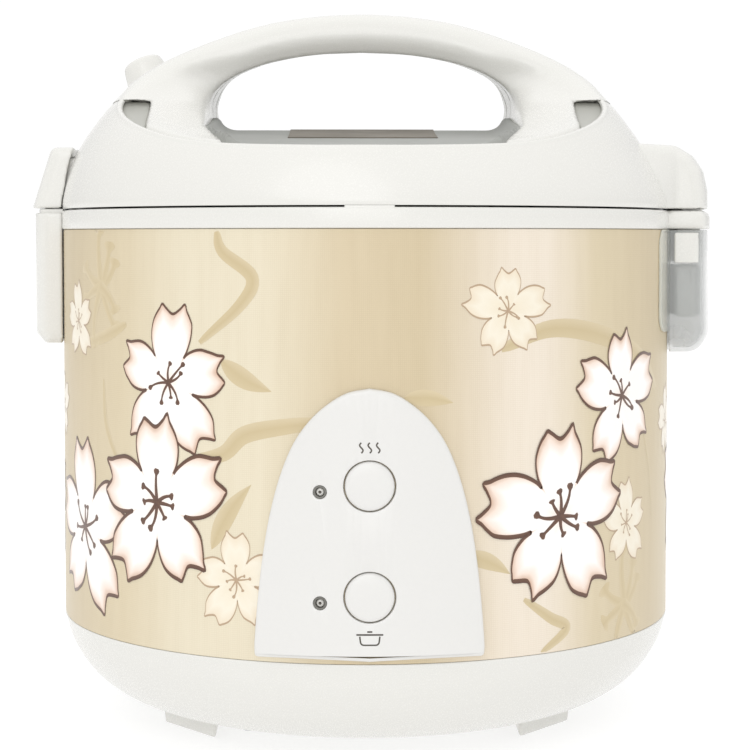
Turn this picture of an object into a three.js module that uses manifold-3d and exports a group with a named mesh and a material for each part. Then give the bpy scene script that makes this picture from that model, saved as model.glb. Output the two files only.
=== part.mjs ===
// Jar rice cooker, millimetres, +Z up, front at -Y, floor at z = 0, pot axis on the Z axis.
import * as THREE from 'three';
import { mergeVertices } from 'three/addons/utils/BufferGeometryUtils.js';
import Module from 'manifold-3d';

const wasm = await Module();
wasm.setup();

// ---- driving dimensions ----
const GAP = 0.3;
const SHELL_R = 128;
const SHELL_T = 1;
const SHELL_Z0 = 44.6;
const SHELL_Z1 = 204.4;
const RING_R = 128.6;
const RING_Z1 = 212.3;
const LID_Z0 = 213;
const LID_T = 2.5;
const CASE_R = 108;
const POT_R = 103.5;
const POT_T = 1.6;
const POT_Z0 = 69.3;
const FLANGE_Z = 205.5;
const PLATE_TOP = 69;
const PANEL_R0 = 128.5;
const PANEL_R1 = 130.9;
const WARM_Z = 110.6;
const COOK_Z = 69.8;
const BUTTON_R = 9.4;
const LED_X = -18.3;
const LED_DROP = 2.2;
const SIDE_HALF = 31;
const HINGE = { x: 143, z: 209.6, pin: 1.5, barrel: 3 };
const LATCH_HALF = 23;
const LEVER_PIN = { x: -131.6, z: 222, r: 1.2 };
const ROCKER = { y: -118.5, z: 90.2, r: 1.2 };
const TRIP = { y: -60, z: 38 };
const FOOT = { x: 72, y: 50 };
const BIG = 32;

// ---- materials ----
function material(color, metalness, roughness, opacity = 1) {
  return new THREE.MeshStandardMaterial({
    color,
    metalness,
    roughness,
    opacity,
    transparent: opacity < 1,
  });
}

const WHITE = [0xf2efe9, 0, 0.25];
const BEIGE = [0xdccba6, 0.3, 0.4];
const STEEL = [0xb9bbbd, 1, 0.35];
const ALU = [0xc8cacc, 1, 0.45];
const DARK = [0x33312f, 0.1, 0.6];
const RUBBER = [0x8b8a86, 0, 0.8];
const BRASS = [0xc9a552, 1, 0.35];

const group = new THREE.Group();

function add(name, geometry, colour, opacity) {
  const mesh = new THREE.Mesh(geometry, material(...colour, opacity));
  mesh.name = name;
  group.add(mesh);
  return mesh;
}

// ---- shape helpers ----
function solid(geometry) {
  const g = geometry.clone();
  g.deleteAttribute('normal');
  g.deleteAttribute('uv');
  const m = mergeVertices(g, 1e-4);
  return new wasm.Manifold(new wasm.Mesh({
    numProp: 3,
    vertProperties: new Float32Array(m.attributes.position.array),
    triVerts: new Uint32Array(m.index.array),
  }));
}

function geometryOf(manifold) {
  const mesh = manifold.getMesh();
  const g = new THREE.BufferGeometry();
  g.setAttribute('position', new THREE.BufferAttribute(new Float32Array(mesh.vertProperties), 3));
  g.setIndex(new THREE.BufferAttribute(new Uint32Array(mesh.triVerts), 1));
  const flat = g.toNonIndexed();
  flat.computeVertexNormals();
  return flat;
}

function latheGeometry(profile, segments = BIG) {
  const g = new THREE.LatheGeometry(profile.map(([r, z]) => new THREE.Vector2(r, z)), segments);
  g.rotateX(Math.PI / 2);
  return g;
}

function lathe(profile, segments) {
  return solid(latheGeometry(closed(profile), segments));
}

// A profile must run counter-clockwise and close when it doesn't touch the axis.
function closed(profile) {
  const onAxis = profile[0][0] === 0 && profile[profile.length - 1][0] === 0;
  return onAxis ? profile : [...profile, profile[0]];
}

function box(x0, x1, y0, y1, z0, z1) {
  const g = new THREE.BoxGeometry(x1 - x0, y1 - y0, z1 - z0);
  g.translate((x0 + x1) / 2, (y0 + y1) / 2, (z0 + z1) / 2);
  return solid(g);
}

function shapeOf(points) {
  return new THREE.Shape(points.map(([a, b]) => new THREE.Vector2(a, b)));
}

// Prism of an (x, z) outline along Y.
function prismY(points, y0, y1) {
  const g = new THREE.ExtrudeGeometry(shapeOf(points), { depth: y1 - y0, bevelEnabled: false });
  g.rotateX(Math.PI / 2);
  g.translate(0, y1, 0);
  return solid(g);
}

// Prism of an (x, y) outline along Z.
function prismZ(points, z0, z1) {
  const g = new THREE.ExtrudeGeometry(shapeOf(points), { depth: z1 - z0, bevelEnabled: false });
  g.translate(0, 0, z0);
  return solid(g);
}

// Cylinder or cone between two points.
function rod(from, to, r0, r1 = r0, sides = 16) {
  const a = new THREE.Vector3(...from);
  const b = new THREE.Vector3(...to);
  const g = new THREE.CylinderGeometry(r1, r0, a.distanceTo(b), sides);
  const up = new THREE.Vector3(0, 1, 0);
  g.applyQuaternion(new THREE.Quaternion().setFromUnitVectors(up, b.clone().sub(a).normalize()));
  const mid = a.clone().add(b).multiplyScalar(0.5);
  g.translate(mid.x, mid.y, mid.z);
  return solid(g);
}

function mirrored(half) {
  const left = half.slice(1).reverse().map(([x, z]) => [-x, z]);
  return [...left, ...half];
}

class Helix extends THREE.Curve {
  constructor(radius, pitch, turns, place) {
    super();
    Object.assign(this, { radius, pitch, turns, place });
  }

  getPoint(t) {
    const a = t * this.turns * Math.PI * 2;
    const along = t * this.turns * this.pitch;
    return this.place(this.radius * Math.cos(a), this.radius * Math.sin(a), along);
  }
}

function wire(path, steps, radius, sides = 6) {
  const outline = [];
  for (let i = 0; i < sides; i++) {
    const a = (i / sides) * Math.PI * 2;
    outline.push([radius * Math.cos(a), radius * Math.sin(a)]);
  }
  return new THREE.ExtrudeGeometry(shapeOf(outline), { steps, extrudePath: path, bevelEnabled: false });
}

function tube(points, steps, radius) {
  return wire(new THREE.CatmullRomCurve3(points.map((p) => new THREE.Vector3(...p))), steps, radius);
}

// ---- base, feet and screws ----
const BASE_OUTER = [
  [0, 3.2], [66, 3.2], [83.5, 6], [92, 8.2], [101.5, 11.2], [108.6, 15], [115.4, 20.2], [122.4, 29.4],
  [125.6, 35.6], [128, 44.3],
];
const BASE_INNER = [
  [125.4, 44.3], [123, 36.2], [119.6, 30], [113, 22], [106.6, 17], [99.8, 13.2], [91, 9.9], [84, 7.9],
  [76, 6.5], [66, 5.2], [0, 5.2],
];

function legPositions() {
  return [0, 120, 240].map((deg) => {
    const a = (deg * Math.PI) / 180;
    return [92 * Math.cos(a), 92 * Math.sin(a)];
  });
}

function footPositions() {
  return [[-1, -1, 'front_left'], [1, -1, 'front_right'], [-1, 1, 'back_left'], [1, 1, 'back_right']];
}

function makeBase() {
  let body = lathe([...BASE_OUTER, ...BASE_INNER]);
  for (const [sx, sy] of footPositions()) {
    body = body.add(rod([sx * FOOT.x, sy * FOOT.y, 2], [sx * FOOT.x, sy * FOOT.y, 12], 9.5, 11.5, 14));
  }
  for (const [x, y] of legPositions()) {
    body = body.add(rod([x, y, 8.6], [x, y, 51.4], 5.5, 4.5, 8));
    body = body.subtract(rod([x, y, 4], [x, y, 32], 1.9, 1.9, 8));
    body = body.subtract(rod([x, y, 4], [x, y, 11.4], 4, 4, 8));
  }
  for (let i = -2; i <= 2; i++) {
    body = body.subtract(box(i * 11 - 2, i * 11 + 2, -22, 22, 2, 7));
  }
  add('base', geometryOf(body), WHITE);
}

function makeFeet() {
  for (const [sx, sy, name] of footPositions()) {
    const at = [sx * FOOT.x, sy * FOOT.y];
    add(`foot_pad_${name}`, geometryOf(rod([...at, 0], [...at, 1.7], 7.6, 8, 16)), RUBBER);
  }
}

function makeBaseScrews() {
  legPositions().forEach(([x, y], i) => {
    const screw = rod([x, y, 8.9], [x, y, 11.2], 3.4, 3.4, 10).add(rod([x, y, 11], [x, y, 28], 1.5, 1.5, 6));
    add(`base_screw_${i + 1}`, geometryOf(screw), STEEL);
  });
}

// ---- outer body ----
function makeShell() {
  const wall = lathe([
    [SHELL_R - SHELL_T, SHELL_Z0], [SHELL_R, SHELL_Z0], [SHELL_R, SHELL_Z1], [SHELL_R - SHELL_T, SHELL_Z1],
  ]);
  const window = box(-27, 14, -140, -100, 58, 124);
  const inletHole = box(-22.5, 22.5, 100, 140, 61.5, 92.5);
  add('outer_shell', geometryOf(wall.subtract(window).subtract(inletHole)), BEIGE);
}

function panelOutline() {
  const half = [
    [0, 145.5], [13, 142.5], [20.5, 137], [26, 130], [31, 119], [34.5, 106], [37, 90],
    [39, 72], [40.8, 55], [41.4, 50.5], [39.5, 47.8], [20, 47.4],
  ];
  return mirrored(half);
}

function makePanel() {
  const band = lathe([[PANEL_R0, 46], [PANEL_R1, 46], [PANEL_R1, 147], [PANEL_R0, 147]], 80);
  let panel = band.intersect(prismY(panelOutline(), -140, -60));
  for (const z of [WARM_Z, COOK_Z]) {
    panel = panel.subtract(rod([0, -140, z], [0, -120, z], BUTTON_R + 0.4, BUTTON_R + 0.4, 32));
    panel = panel.subtract(rod([LED_X, -140, z - LED_DROP], [LED_X, -120, z - LED_DROP], 2.5, 2.5, 12));
  }
  add('control_panel', geometryOf(panel), WHITE);
}

function makeButtons() {
  for (const [name, z] of [['warm_button', WARM_Z], ['cook_button', COOK_Z]]) {
    const cap = rod([0, -131.2, z], [0, -125.5, z], BUTTON_R, BUTTON_R, 28);
    add(name, geometryOf(cap.add(rod([0, -126, z], [0, -121, z], 2.5, 2.5, 10))), WHITE);
  }
}

function makeLeds() {
  for (const [name, z] of [['led_lens_warm', WARM_Z], ['led_lens_cook', COOK_Z]]) {
    const at = z - LED_DROP;
    add(name, geometryOf(rod([LED_X, -129.9, at], [LED_X, -121, at], 2.2, 2.2, 12)), [0xf2b36a, 0, 0.2]);
  }
  add('led_board', geometryOf(box(-27, -12, -120.7, -119.2, 60, 116)), [0x2f6b45, 0, 0.6]);
}

function lobeProfile() {
  const points = [[120, 204.7], [146, 204.7]];
  for (let i = 0; i <= 5; i++) {
    const a = (i / 5) * (Math.PI / 2);
    points.push([HINGE.x + HINGE.barrel * Math.cos(a), HINGE.z + (RING_Z1 - HINGE.z) * Math.sin(a)]);
  }
  points.push([120, RING_Z1]);
  return points;
}

function makeRing() {
  let ring = lathe([
    [106.6, 202], [126.6, 202], [126.6, 204.7], [RING_R, 204.7], [RING_R, RING_Z1],
    [116, RING_Z1], [114.2, 205.2], [106.6, 205.2],
  ]);
  ring = ring.add(prismY(lobeProfile(), -SIDE_HALF - 1, SIDE_HALF + 1));
  for (const s of [-1, 1]) {
    ring = ring.subtract(box(138.6, 147, Math.min(s * 17, s * 25), Math.max(s * 17, s * 25), 205.6, 214));
  }
  ring = ring.subtract(box(139.4, 145.5, -13, 13, 205.8, 214));
  ring = ring.subtract(rod([HINGE.x, -29, HINGE.z], [HINGE.x, 29, HINGE.z], HINGE.pin + 0.05, HINGE.pin + 0.05, 12));
  add('body_ring', geometryOf(ring), WHITE);
}

function makeHingePin() {
  const pin = rod([HINGE.x, -28.7, HINGE.z], [HINGE.x, 28.7, HINGE.z], HINGE.pin, HINGE.pin, 12);
  add('hinge_pin', geometryOf(pin), STEEL);
  const place = (a, b, t) => new THREE.Vector3(HINGE.x + a, t - 10, HINGE.z + b);
  add('hinge_spring', wire(new Helix(2.05, 4, 5, place), 40, 0.28, 5), STEEL);
}

function makeLatchCatch() {
  const outline = [
    [-118, 157], [-137, 157], [-140, 162], [-140, 209.5], [-138.6, 211], [-118, 211],
  ];
  let catchBody = prismY(outline, -LATCH_HALF, LATCH_HALF);
  catchBody = catchBody.subtract(rod([0, 0, 150], [0, 0, 220], RING_R + GAP, RING_R + GAP, 80));
  catchBody = catchBody.subtract(box(-138.4, -131, -9, 9, 203, 212));
  catchBody = catchBody.add(box(-133, -129.6, -8.9, 8.9, 209.3, 210.9));
  catchBody = catchBody.add(box(-132, -129.6, -10, 10, 200, 209.6));
  add('latch_catch', geometryOf(catchBody), WHITE);
}

function makeDewCollector() {
  const outer = [[110, 204.2], [146, 204.2], [146, 163], [143.8, 156.5], [139, 153], [133, 153], [110, 153]];
  const inner = [[110, 206], [144.4, 206], [144.4, 163.5], [142.6, 158], [138.4, 154.8], [132, 154.8], [110, 154.8]];
  const cup = prismY(outer.reverse(), -SIDE_HALF + 1, SIDE_HALF - 1);
  const core = prismY(inner.reverse(), -SIDE_HALF + 2.8, SIDE_HALF - 2.8);
  const backWall = rod([0, 0, 140], [0, 0, 220], RING_R + 1.9, RING_R + 1.9, 80);
  const bodySpace = rod([0, 0, 140], [0, 0, 220], RING_R + GAP, RING_R + GAP, 80);
  const shape = cup.subtract(core.subtract(backWall)).subtract(bodySpace);
  add('dew_collector', geometryOf(shape), [0xdfe2e0, 0, 0.25], 0.5);
}

// ---- power inlet ----
function makeInlet() {
  let housing = box(-22, 22, 112, 131.5, 62, 92);
  housing = housing.subtract(box(-17, 17, 117, 133, 67, 87));
  add('inlet_socket', geometryOf(housing), DARK);
  for (const [name, x] of [['inlet_pin_left', -8], ['inlet_pin_right', 8]]) {
    add(name, geometryOf(box(x - 1.2, x + 1.2, 117.3, 128, 75, 79)), BRASS);
  }
  add('terminal_block', geometryOf(box(-18, 18, 62, 78, 9, 22)), DARK);
}

// ---- inner case, heater and pot ----
function makeCase() {
  const t = 1;
  const wall = lathe([
    [24, 52], [CASE_R, 52], [CASE_R, 201.6], [CASE_R - t, 201.6], [CASE_R - t, 52 + t], [24, 52 + t],
  ]);
  add('inner_case', geometryOf(wall), STEEL);
  const band = lathe([[CASE_R + GAP, 138], [CASE_R + 2, 138], [CASE_R + 2, 166], [CASE_R + GAP, 166]]);
  add('warmer_band', geometryOf(band), ALU);
}

function makeHeater() {
  const plate = lathe([
    [17.2, 63], [78, 63], [86, 65.5], [88, 68], [87, PLATE_TOP], [17.2, PLATE_TOP],
  ]);
  add('heating_plate', geometryOf(plate), ALU);
  const circle = [];
  for (let i = 0; i < 8; i++) {
    const a = (i / 8) * Math.PI * 2;
    circle.push([58 + 3.2 * Math.cos(a), 59.4 + 3.2 * Math.sin(a)]);
  }
  add('heater_element', geometryOf(lathe(circle, 36)), STEEL);
}

function makeSensor() {
  const cap = lathe([[0, 67.4], [12.4, 67.4], [12.4, 61], [13.8, 61], [13.8, 68.4], [13, PLATE_TOP], [0, PLATE_TOP]], 24);
  add('sensor_cap', geometryOf(cap), ALU);
  add('sensor_magnet', geometryOf(lathe([[0, 53], [6.5, 53], [6.5, 67.1], [0, 67.1]], 16)), DARK);
  const housing = lathe([[3, 45], [16.9, 45], [16.9, 62.5], [15.3, 62.5], [15.3, 46.4], [3, 46.4]], 24);
  add('sensor_housing', geometryOf(housing), STEEL);
  const place = (a, b, t) => new THREE.Vector3(a, b, 47.3 + t);
  add('sensor_spring', wire(new Helix(10.2, 3.2, 4, place), 44, 0.5, 5), STEEL);
}

function makePot() {
  const inner = POT_R - POT_T;
  const pot = lathe([
    [0, POT_Z0], [88, POT_Z0], [99.5, POT_Z0 + 4.6], [POT_R, POT_Z0 + 16],
    [POT_R, FLANGE_Z], [112.6, FLANGE_Z], [112.6, FLANGE_Z + 1.2], [inner, FLANGE_Z + 1.2],
    [inner, POT_Z0 + 16.4], [98.3, POT_Z0 + 5.8], [87.6, POT_Z0 + POT_T], [0, POT_Z0 + POT_T],
  ]);
  add('inner_pot', geometryOf(pot), ALU);
}

// ---- switch mechanism ----
function makeRocker() {
  const { y, z, r } = ROCKER;
  let bar = box(-5, 5, y - 1.5, y + 1.5, z - 24.5, z + 24.5);
  bar = bar.add(rod([-5, y, z], [5, y, z], 3, 3, 12));
  bar = bar.subtract(rod([-6, y, z], [6, y, z], r + 0.05, r + 0.05, 12));
  add('rocker', geometryOf(bar), WHITE);
  let frame = box(-10, 10, -112.6, -111.2, 58, 122);
  for (const s of [-1, 1]) {
    frame = frame.add(box(Math.min(s * 6, s * 8), Math.max(s * 6, s * 8), y - 3.4, -112, z - 5, z + 5));
  }
  frame = frame.subtract(rod([-9, y, z], [9, y, z], r + 0.05, r + 0.05, 12));
  add('switch_frame', geometryOf(frame), STEEL);
  add('rocker_pin', geometryOf(rod([-8.6, y, z], [8.6, y, z], r, r, 12)), STEEL);
}

function makeTrip() {
  const { y, z } = TRIP;
  let lever = box(-4, 4, -104, 6, z - 1.2, z + 1.2);
  lever = lever.add(rod([0, 0, z], [0, 0, 44], 2.2, 2.2, 10));
  lever = lever.add(rod([-4, y, z], [4, y, z], 2.6, 2.6, 12));
  lever = lever.subtract(rod([-5, y, z], [5, y, z], 1.25, 1.25, 12));
  add('trip_lever', geometryOf(lever), STEEL);
  let bracket = box(-8, 8, y - 8, y + 8, 6, 8);
  for (const s of [-1, 1]) {
    bracket = bracket.add(box(Math.min(s * 5, s * 7), Math.max(s * 5, s * 7), y - 5, y + 5, 7, z + 4));
  }
  bracket = bracket.subtract(rod([-9, y, z], [9, y, z], 1.25, 1.25, 12));
  add('trip_bracket', geometryOf(bracket), STEEL);
  add('trip_pin', geometryOf(rod([-7.6, y, z], [7.6, y, z], 1.2, 1.2, 12)), STEEL);
  add('micro_switch', geometryOf(box(-9, 9, -88, -71, 10.4, 24)), DARK);
}

function makeWiring() {
  add('thermal_fuse', geometryOf(rod([30, 34, 58], [46, 22, 58], 2.4, 2.4, 10)), BRASS);
  add('wire_supply', tube([[10, 61, 16], [30, 40, 14], [32, -20, 14], [24, -66, 14], [11, -80, 16]], 16, 1.3), DARK);
  add('wire_heater', tube([[-10, 61, 18], [-22, 40, 28], [-24, 18, 40], [-19, 10, 48], [-19, 10, 57]], 14, 1.3), [0xb5413a, 0, 0.5]);
}

// ---- lid ----
const LID_OUTER = [
  [128.8, LID_Z0], [127.6, 222], [124.4, 231], [120.4, 235.2], [116, 236.2], [84, 240.6],
  [50, 244.3], [0, 246.5],
];
const LID_INNER = [
  [0, 244], [50, 241.8], [84, 238.1], [114.6, 233.8], [121.6, 229.6], [124.8, 221], [126.3, LID_Z0],
];

function lidOuterSpace(grow) {
  const side = LID_OUTER.map(([r, z]) => [r === 0 ? 0 : r + grow * 0.8, z + grow]);
  return lathe([[0, 200], [side[0][0], 200], ...side]);
}

function leverEars() {
  let ears = null;
  for (const s of [-1, 1]) {
    const ear = box(-133.8, -124.5, Math.min(s * 12, s * 15), Math.max(s * 12, s * 15), 218.6, 224.4);
    ears = ears ? ears.add(ear) : ear;
  }
  const { x, z, r } = LEVER_PIN;
  return ears.subtract(rod([x, -20, z], [x, 20, z], r + 0.05, r + 0.05, 12));
}

function makeLidOuter() {
  const shell = lathe([...LID_OUTER, ...LID_INNER]);
  const ventBore = rod(ventPoint(-30), ventPoint(30), 7.4, 7.4, 16);
  add('lid_outer', geometryOf(shell.add(leverEars()).subtract(ventBore)), WHITE);
}

function makeInnerLid() {
  const frame = lathe([
    [99, 212.4], [125.6, 213.4], [125.6, 216.4], [119, 217.2], [99, 215.4],
  ]);
  add('inner_lid_frame', geometryOf(frame), WHITE);
  const gasket = lathe([[103.4, 209.4], [107.4, 207.2], [111.4, 207.2], [110.6, 212], [103.4, 212]]);
  add('lid_gasket', geometryOf(gasket), RUBBER);
  const plate = lathe([[3, 208.4], [40, 208.8], [103, 210.4], [103, 211.4], [40, 209.8], [3, 209.4]]);
  add('inner_lid_plate', geometryOf(plate), ALU);
  const knob = lathe([[0, 202.4], [6.4, 202.4], [7.4, 204], [7.4, 208], [2.6, 208], [2.6, 216], [0, 216]], 20);
  add('inner_lid_knob', geometryOf(knob), WHITE);
}

// ---- handle ----
const HANDLE_ARC = [
  [0, 295], [16, 294.2], [30, 292.3], [48, 288.4], [60, 284.4], [72, 279.2], [82, 274.2],
  [90.5, 269.2], [98, 264.2], [106, 258.4], [111.5, 253.4], [116, 248.4], [120, 242.6], [124.2, 234],
];
const OPENING = [
  [0, 278], [20, 277], [37, 274], [50.5, 268.8], [58.6, 263.4], [61.8, 258], [61.8, 252.5],
  [59.6, 248.6], [55, 245], [40, 240],
];
const PLAN_HALF = [
  [0, 23], [34, 24], [58, 27.5], [76, 34], [92, 44], [104, 51], [113, 50], [121, 40], [126, 24],
];

function handleBlock() {
  const arc = mirrored(HANDLE_ARC);
  const silhouette = prismY([...arc, [110, 230], [-110, 230]], -60, 60);
  const upper = mirrored(PLAN_HALF);
  const lower = upper.slice().reverse().map(([x, y]) => [x, -y]);
  const plan = prismZ([...upper, ...lower], 226, 300);
  return silhouette.intersect(plan).subtract(lidOuterSpace(GAP));
}

// The handle's outline grown by a small gap, for what stands beside it.
function handleSpace() {
  const block = handleBlock();
  return block.add(block.translate([GAP, 0, 0])).add(block.translate([0, 0, GAP])).add(block.translate([0, 0, -GAP]));
}

function openingOutline(grow) {
  const ring = mirrored(OPENING);
  return ring.map(([x, z]) => {
    const d = Math.hypot(x, z - 252);
    return [x + (grow * x) / d, z + (grow * (z - 252)) / d];
  });
}

function makeHandle() {
  const hole = prismY(openingOutline(0), -70, 70);
  const band = prismY(openingOutline(5.2), -17, 17);
  const bandSpace = prismY(openingOutline(5.5), -17.3, 17.3);
  const bore = rod(ventPoint(-30), ventPoint(30), 7.4, 7.4, 16);
  const block = handleBlock();
  const above = box(-80, 80, -40, 40, 249.2, 300);
  const seat = rod(ventPoint(4), ventPoint(40), 11.6, 11.6, 20);
  const grip = block.subtract(hole).subtract(bandSpace.intersect(above)).subtract(bore).subtract(seat);
  add('handle', geometryOf(grip), WHITE);
  const underside = band.subtract(hole).intersect(box(-80, 80, -40, 40, 249.5, 300));
  add('handle_underside', geometryOf(underside), WHITE);
}

function makeLidLabel() {
  const skin = lidOuterSpace(GAP + 0.7).subtract(lidOuterSpace(GAP));
  add('lid_label', geometryOf(skin.intersect(box(-29.5, 29.5, -86, -30, 236, 250))), [0x9a8f7c, 0, 0.5]);
}

// ---- steam vent ----
const VENT = { at: [-92.4, 36, 263], axis: new THREE.Vector3(-0.4, 0.18, 0.9).normalize() };

function ventPoint(t) {
  return [0, 1, 2].map((i) => VENT.at[i] + t * VENT.axis.getComponent(i));
}

function makeVent() {
  const cap = rod(ventPoint(4.5), ventPoint(15), 11, 9.4, 20).add(rod(ventPoint(14.9), ventPoint(18.5), 9.4, 6.4, 20));
  const hollow = rod(ventPoint(0), ventPoint(14), 7.6, 7.6, 16);
  const slot = rod(ventPoint(10), ventPoint(30), 2, 2, 10);
  add('steam_vent_cap', geometryOf(cap.subtract(hollow).subtract(slot)), WHITE);
  const tubeBody = rod(ventPoint(-19), ventPoint(10.5), 7, 7, 16).subtract(rod(ventPoint(-20), ventPoint(12), 5.4, 5.4, 16));
  add('steam_vent_tube', geometryOf(tubeBody), WHITE);
}

// ---- hinge cover and release lever ----
function makeHingeCover() {
  const outer = [
    [112, 213], [146, 213], [145.7, 221], [144.2, 227.5], [141, 233], [136.5, 236.8], [131, 238.5], [112, 239],
  ];
  const inner = [[126, 210], [143.6, 210], [143.3, 220.4], [141.8, 226.3], [139, 231], [135, 234.4], [126, 235.8]];
  let cover = prismY(outer, -SIDE_HALF, SIDE_HALF);
  cover = cover.subtract(prismY(inner, -SIDE_HALF + 2.4, SIDE_HALF - 2.4));
  for (const s of [-1, 1]) {
    const y0 = Math.min(s * 18, s * 24);
    const y1 = Math.max(s * 18, s * 24);
    cover = cover.add(box(141.4, 145, y0, y1, 210.6, 218));
    cover = cover.add(rod([HINGE.x, y0, HINGE.z], [HINGE.x, y1, HINGE.z], 2.9, 2.9, 16));
  }
  cover = cover.subtract(rod([HINGE.x, -26, HINGE.z], [HINGE.x, 26, HINGE.z], 1.55, 1.55, 12));
  cover = cover.subtract(lidOuterSpace(GAP)).subtract(handleSpace()).subtract(ringZone());
  cover = cover.intersect(box(119, 150, -40, 40, 200, 240));
  add('hinge_cover', geometryOf(cover), WHITE);
}

function ringZone() {
  return lathe([[100, 200], [RING_R + 0.5, 200], [RING_R + 0.5, 213.2], [100, 213.2]]);
}

function makeLever() {
  const { x, z, r } = LEVER_PIN;
  const outer = [
    [-129.4, 213.3], [-129.4, 234], [-127.6, 238.5], [-133, 238.5], [-141.6, 213.3],
  ];
  const inner = [[-127, 216], [-127, 235.8], [-131.4, 235.8], [-137.6, 216]];
  let lever = prismY(outer, -LATCH_HALF + 1, LATCH_HALF - 1);
  lever = lever.subtract(prismY(inner, -LATCH_HALF + 3.4, LATCH_HALF - 3.4));
  lever = lever.add(box(-136.4, -134.2, -7, 7, 206.5, 217));
  lever = lever.add(box(-135, -133.4, -7, 7, 206.5, 208.6));
  lever = lever.subtract(rod([x, -23, z], [x, 23, z], r + 0.05, r + 0.05, 12));
  add('release_lever', geometryOf(lever), WHITE);
  add('lever_pin', geometryOf(rod([x, -21.4, z], [x, 21.4, z], r, r, 12)), STEEL);
  const place = (a, b, t) => new THREE.Vector3(x + a, t - 6, z + b);
  add('lever_spring', wire(new Helix(2.1, 4, 3, place), 24, 0.35, 5), STEEL);
}

makeBase();
makeFeet();
makeBaseScrews();
makeShell();
makePanel();
makeButtons();
makeLeds();
makeRing();
makeHingePin();
makeLatchCatch();
makeDewCollector();
makeInlet();
makeCase();
makeHeater();
makeSensor();
makePot();
makeRocker();
makeTrip();
makeWiring();
makeLidOuter();
makeInnerLid();
makeHandle();
makeLidLabel();
makeVent();
makeHingeCover();
makeLever();

export default group;
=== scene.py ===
"""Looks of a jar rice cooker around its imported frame. Lengths in the code are millimetres."""

import math
from contextlib import contextmanager

import bmesh
import bpy
import numpy as np
from mathutils import Matrix, Vector


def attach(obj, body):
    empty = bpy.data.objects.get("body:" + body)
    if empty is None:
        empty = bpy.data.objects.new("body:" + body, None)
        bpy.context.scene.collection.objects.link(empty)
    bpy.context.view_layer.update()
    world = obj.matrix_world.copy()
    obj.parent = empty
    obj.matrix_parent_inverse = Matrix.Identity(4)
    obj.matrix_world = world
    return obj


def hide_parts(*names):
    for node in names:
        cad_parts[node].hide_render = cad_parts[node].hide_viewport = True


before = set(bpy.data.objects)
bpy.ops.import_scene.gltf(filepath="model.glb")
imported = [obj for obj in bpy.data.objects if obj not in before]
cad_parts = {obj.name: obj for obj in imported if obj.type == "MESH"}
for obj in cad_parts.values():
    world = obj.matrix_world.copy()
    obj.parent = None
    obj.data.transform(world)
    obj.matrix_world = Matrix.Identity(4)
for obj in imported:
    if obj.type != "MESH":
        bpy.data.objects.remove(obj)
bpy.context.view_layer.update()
MM = 0.001

# ---- sizes shared by several pieces ----
SHELL_R = 128.0
SHELL_Z = (44.6, 204.4)
RING_R = 128.6
RING_Z = (204.7, 212.3)
LID_Z = 213.0
PANEL_R = (128.2, 130.9)
BUTTONS = {"warm": 110.6, "cook": 69.8}
BUTTON_R = 9.1
LED_X = -17.9
INLET_Z = (62.0, 92.0)
INLET_HALF = 21.5
LED_DROP = 2.2
HINGE = (143.0, 209.6)
SIDE_HALF = 31.0
LATCH_HALF = 23.0
VENT_AT = Vector((-92.4, 36, 263))
VENT_AXIS = Vector((-0.4, 0.18, 0.9)).normalized()
LID_SHIFT = -1.8


# ---- mesh helpers ----
def new_object(name, verts, faces, smooth=True):
    mesh = bpy.data.meshes.new(name)
    mesh.from_pydata([(x * MM, y * MM, z * MM) for x, y, z in verts], [], [tuple(f) for f in faces])
    mesh.validate()
    mesh.update()
    mesh.polygons.foreach_set("use_smooth", [smooth] * len(mesh.polygons))
    obj = bpy.data.objects.new(name, mesh)
    bpy.context.scene.collection.objects.link(obj)
    return obj


@contextmanager
def editing(obj):
    """The object's mesh as a bmesh, written back at the end."""
    bm = bmesh.new()
    bm.from_mesh(obj.data)
    yield bm
    bm.to_mesh(obj.data)
    bm.free()


def smooth_by_angle(obj, degrees):
    limit = math.radians(degrees)
    with editing(obj) as bm:
        for e in bm.edges:
            e.smooth = not (len(e.link_faces) == 2 and e.calc_face_angle(0) > limit)


def recalc(obj):
    with editing(obj) as bm:
        bmesh.ops.recalc_face_normals(bm, faces=bm.faces)


def finish_piece(obj, body, material, replaces=()):
    obj.data.materials.clear()
    obj.data.materials.append(material)
    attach(obj, body)
    if replaces:
        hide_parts(*replaces)
    return obj


def white(obj, body, *replaces):
    """Finishes a piece of the white moulded plastic."""
    return finish_piece(obj, body, WHITE, replaces)


def round_corners(points, radius, steps=5, closed=False):
    """Replaces each corner of a 2-D polyline by a small arc."""
    pts = [Vector(p) for p in points]
    n = len(pts)
    out = []
    for i, p in enumerate(pts):
        if not closed and i in (0, n - 1):
            out.append(tuple(p))
            continue
        a, b = pts[i - 1], pts[(i + 1) % n]
        da, db = a - p, b - p
        turn = da.angle(db, math.pi)
        if da.length < 1e-6 or db.length < 1e-6 or turn > math.radians(172):
            out.append(tuple(p))
            continue
        r = radius[i] if isinstance(radius, (list, tuple)) else radius
        cut = min(r / math.tan(turn / 2), da.length * 0.45, db.length * 0.45)
        start, end = p + da.normalized() * cut, p + db.normalized() * cut
        for k in range(steps + 1):
            t = k / steps
            out.append(tuple(start * (1 - t) ** 2 + p * 2 * t * (1 - t) + end * t * t))
    return out


def spline(points, count):
    """Dense Catmull-Rom curve through 2-D points."""
    p = np.array(points, float)
    p = np.vstack([2 * p[0] - p[1], p, 2 * p[-1] - p[-2]])
    out = []
    for i in range(1, len(p) - 2):
        for t in np.linspace(0, 1, count, endpoint=False):
            out.append(
                0.5 * (2 * p[i] + (p[i + 1] - p[i - 1]) * t
                       + (2 * p[i - 1] - 5 * p[i] + 4 * p[i + 1] - p[i + 2]) * t * t
                       + (3 * p[i] - p[i - 1] - 3 * p[i + 1] + p[i + 2]) * t ** 3)
            )
    out.append(p[-2])
    return [tuple(q) for q in out]


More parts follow.
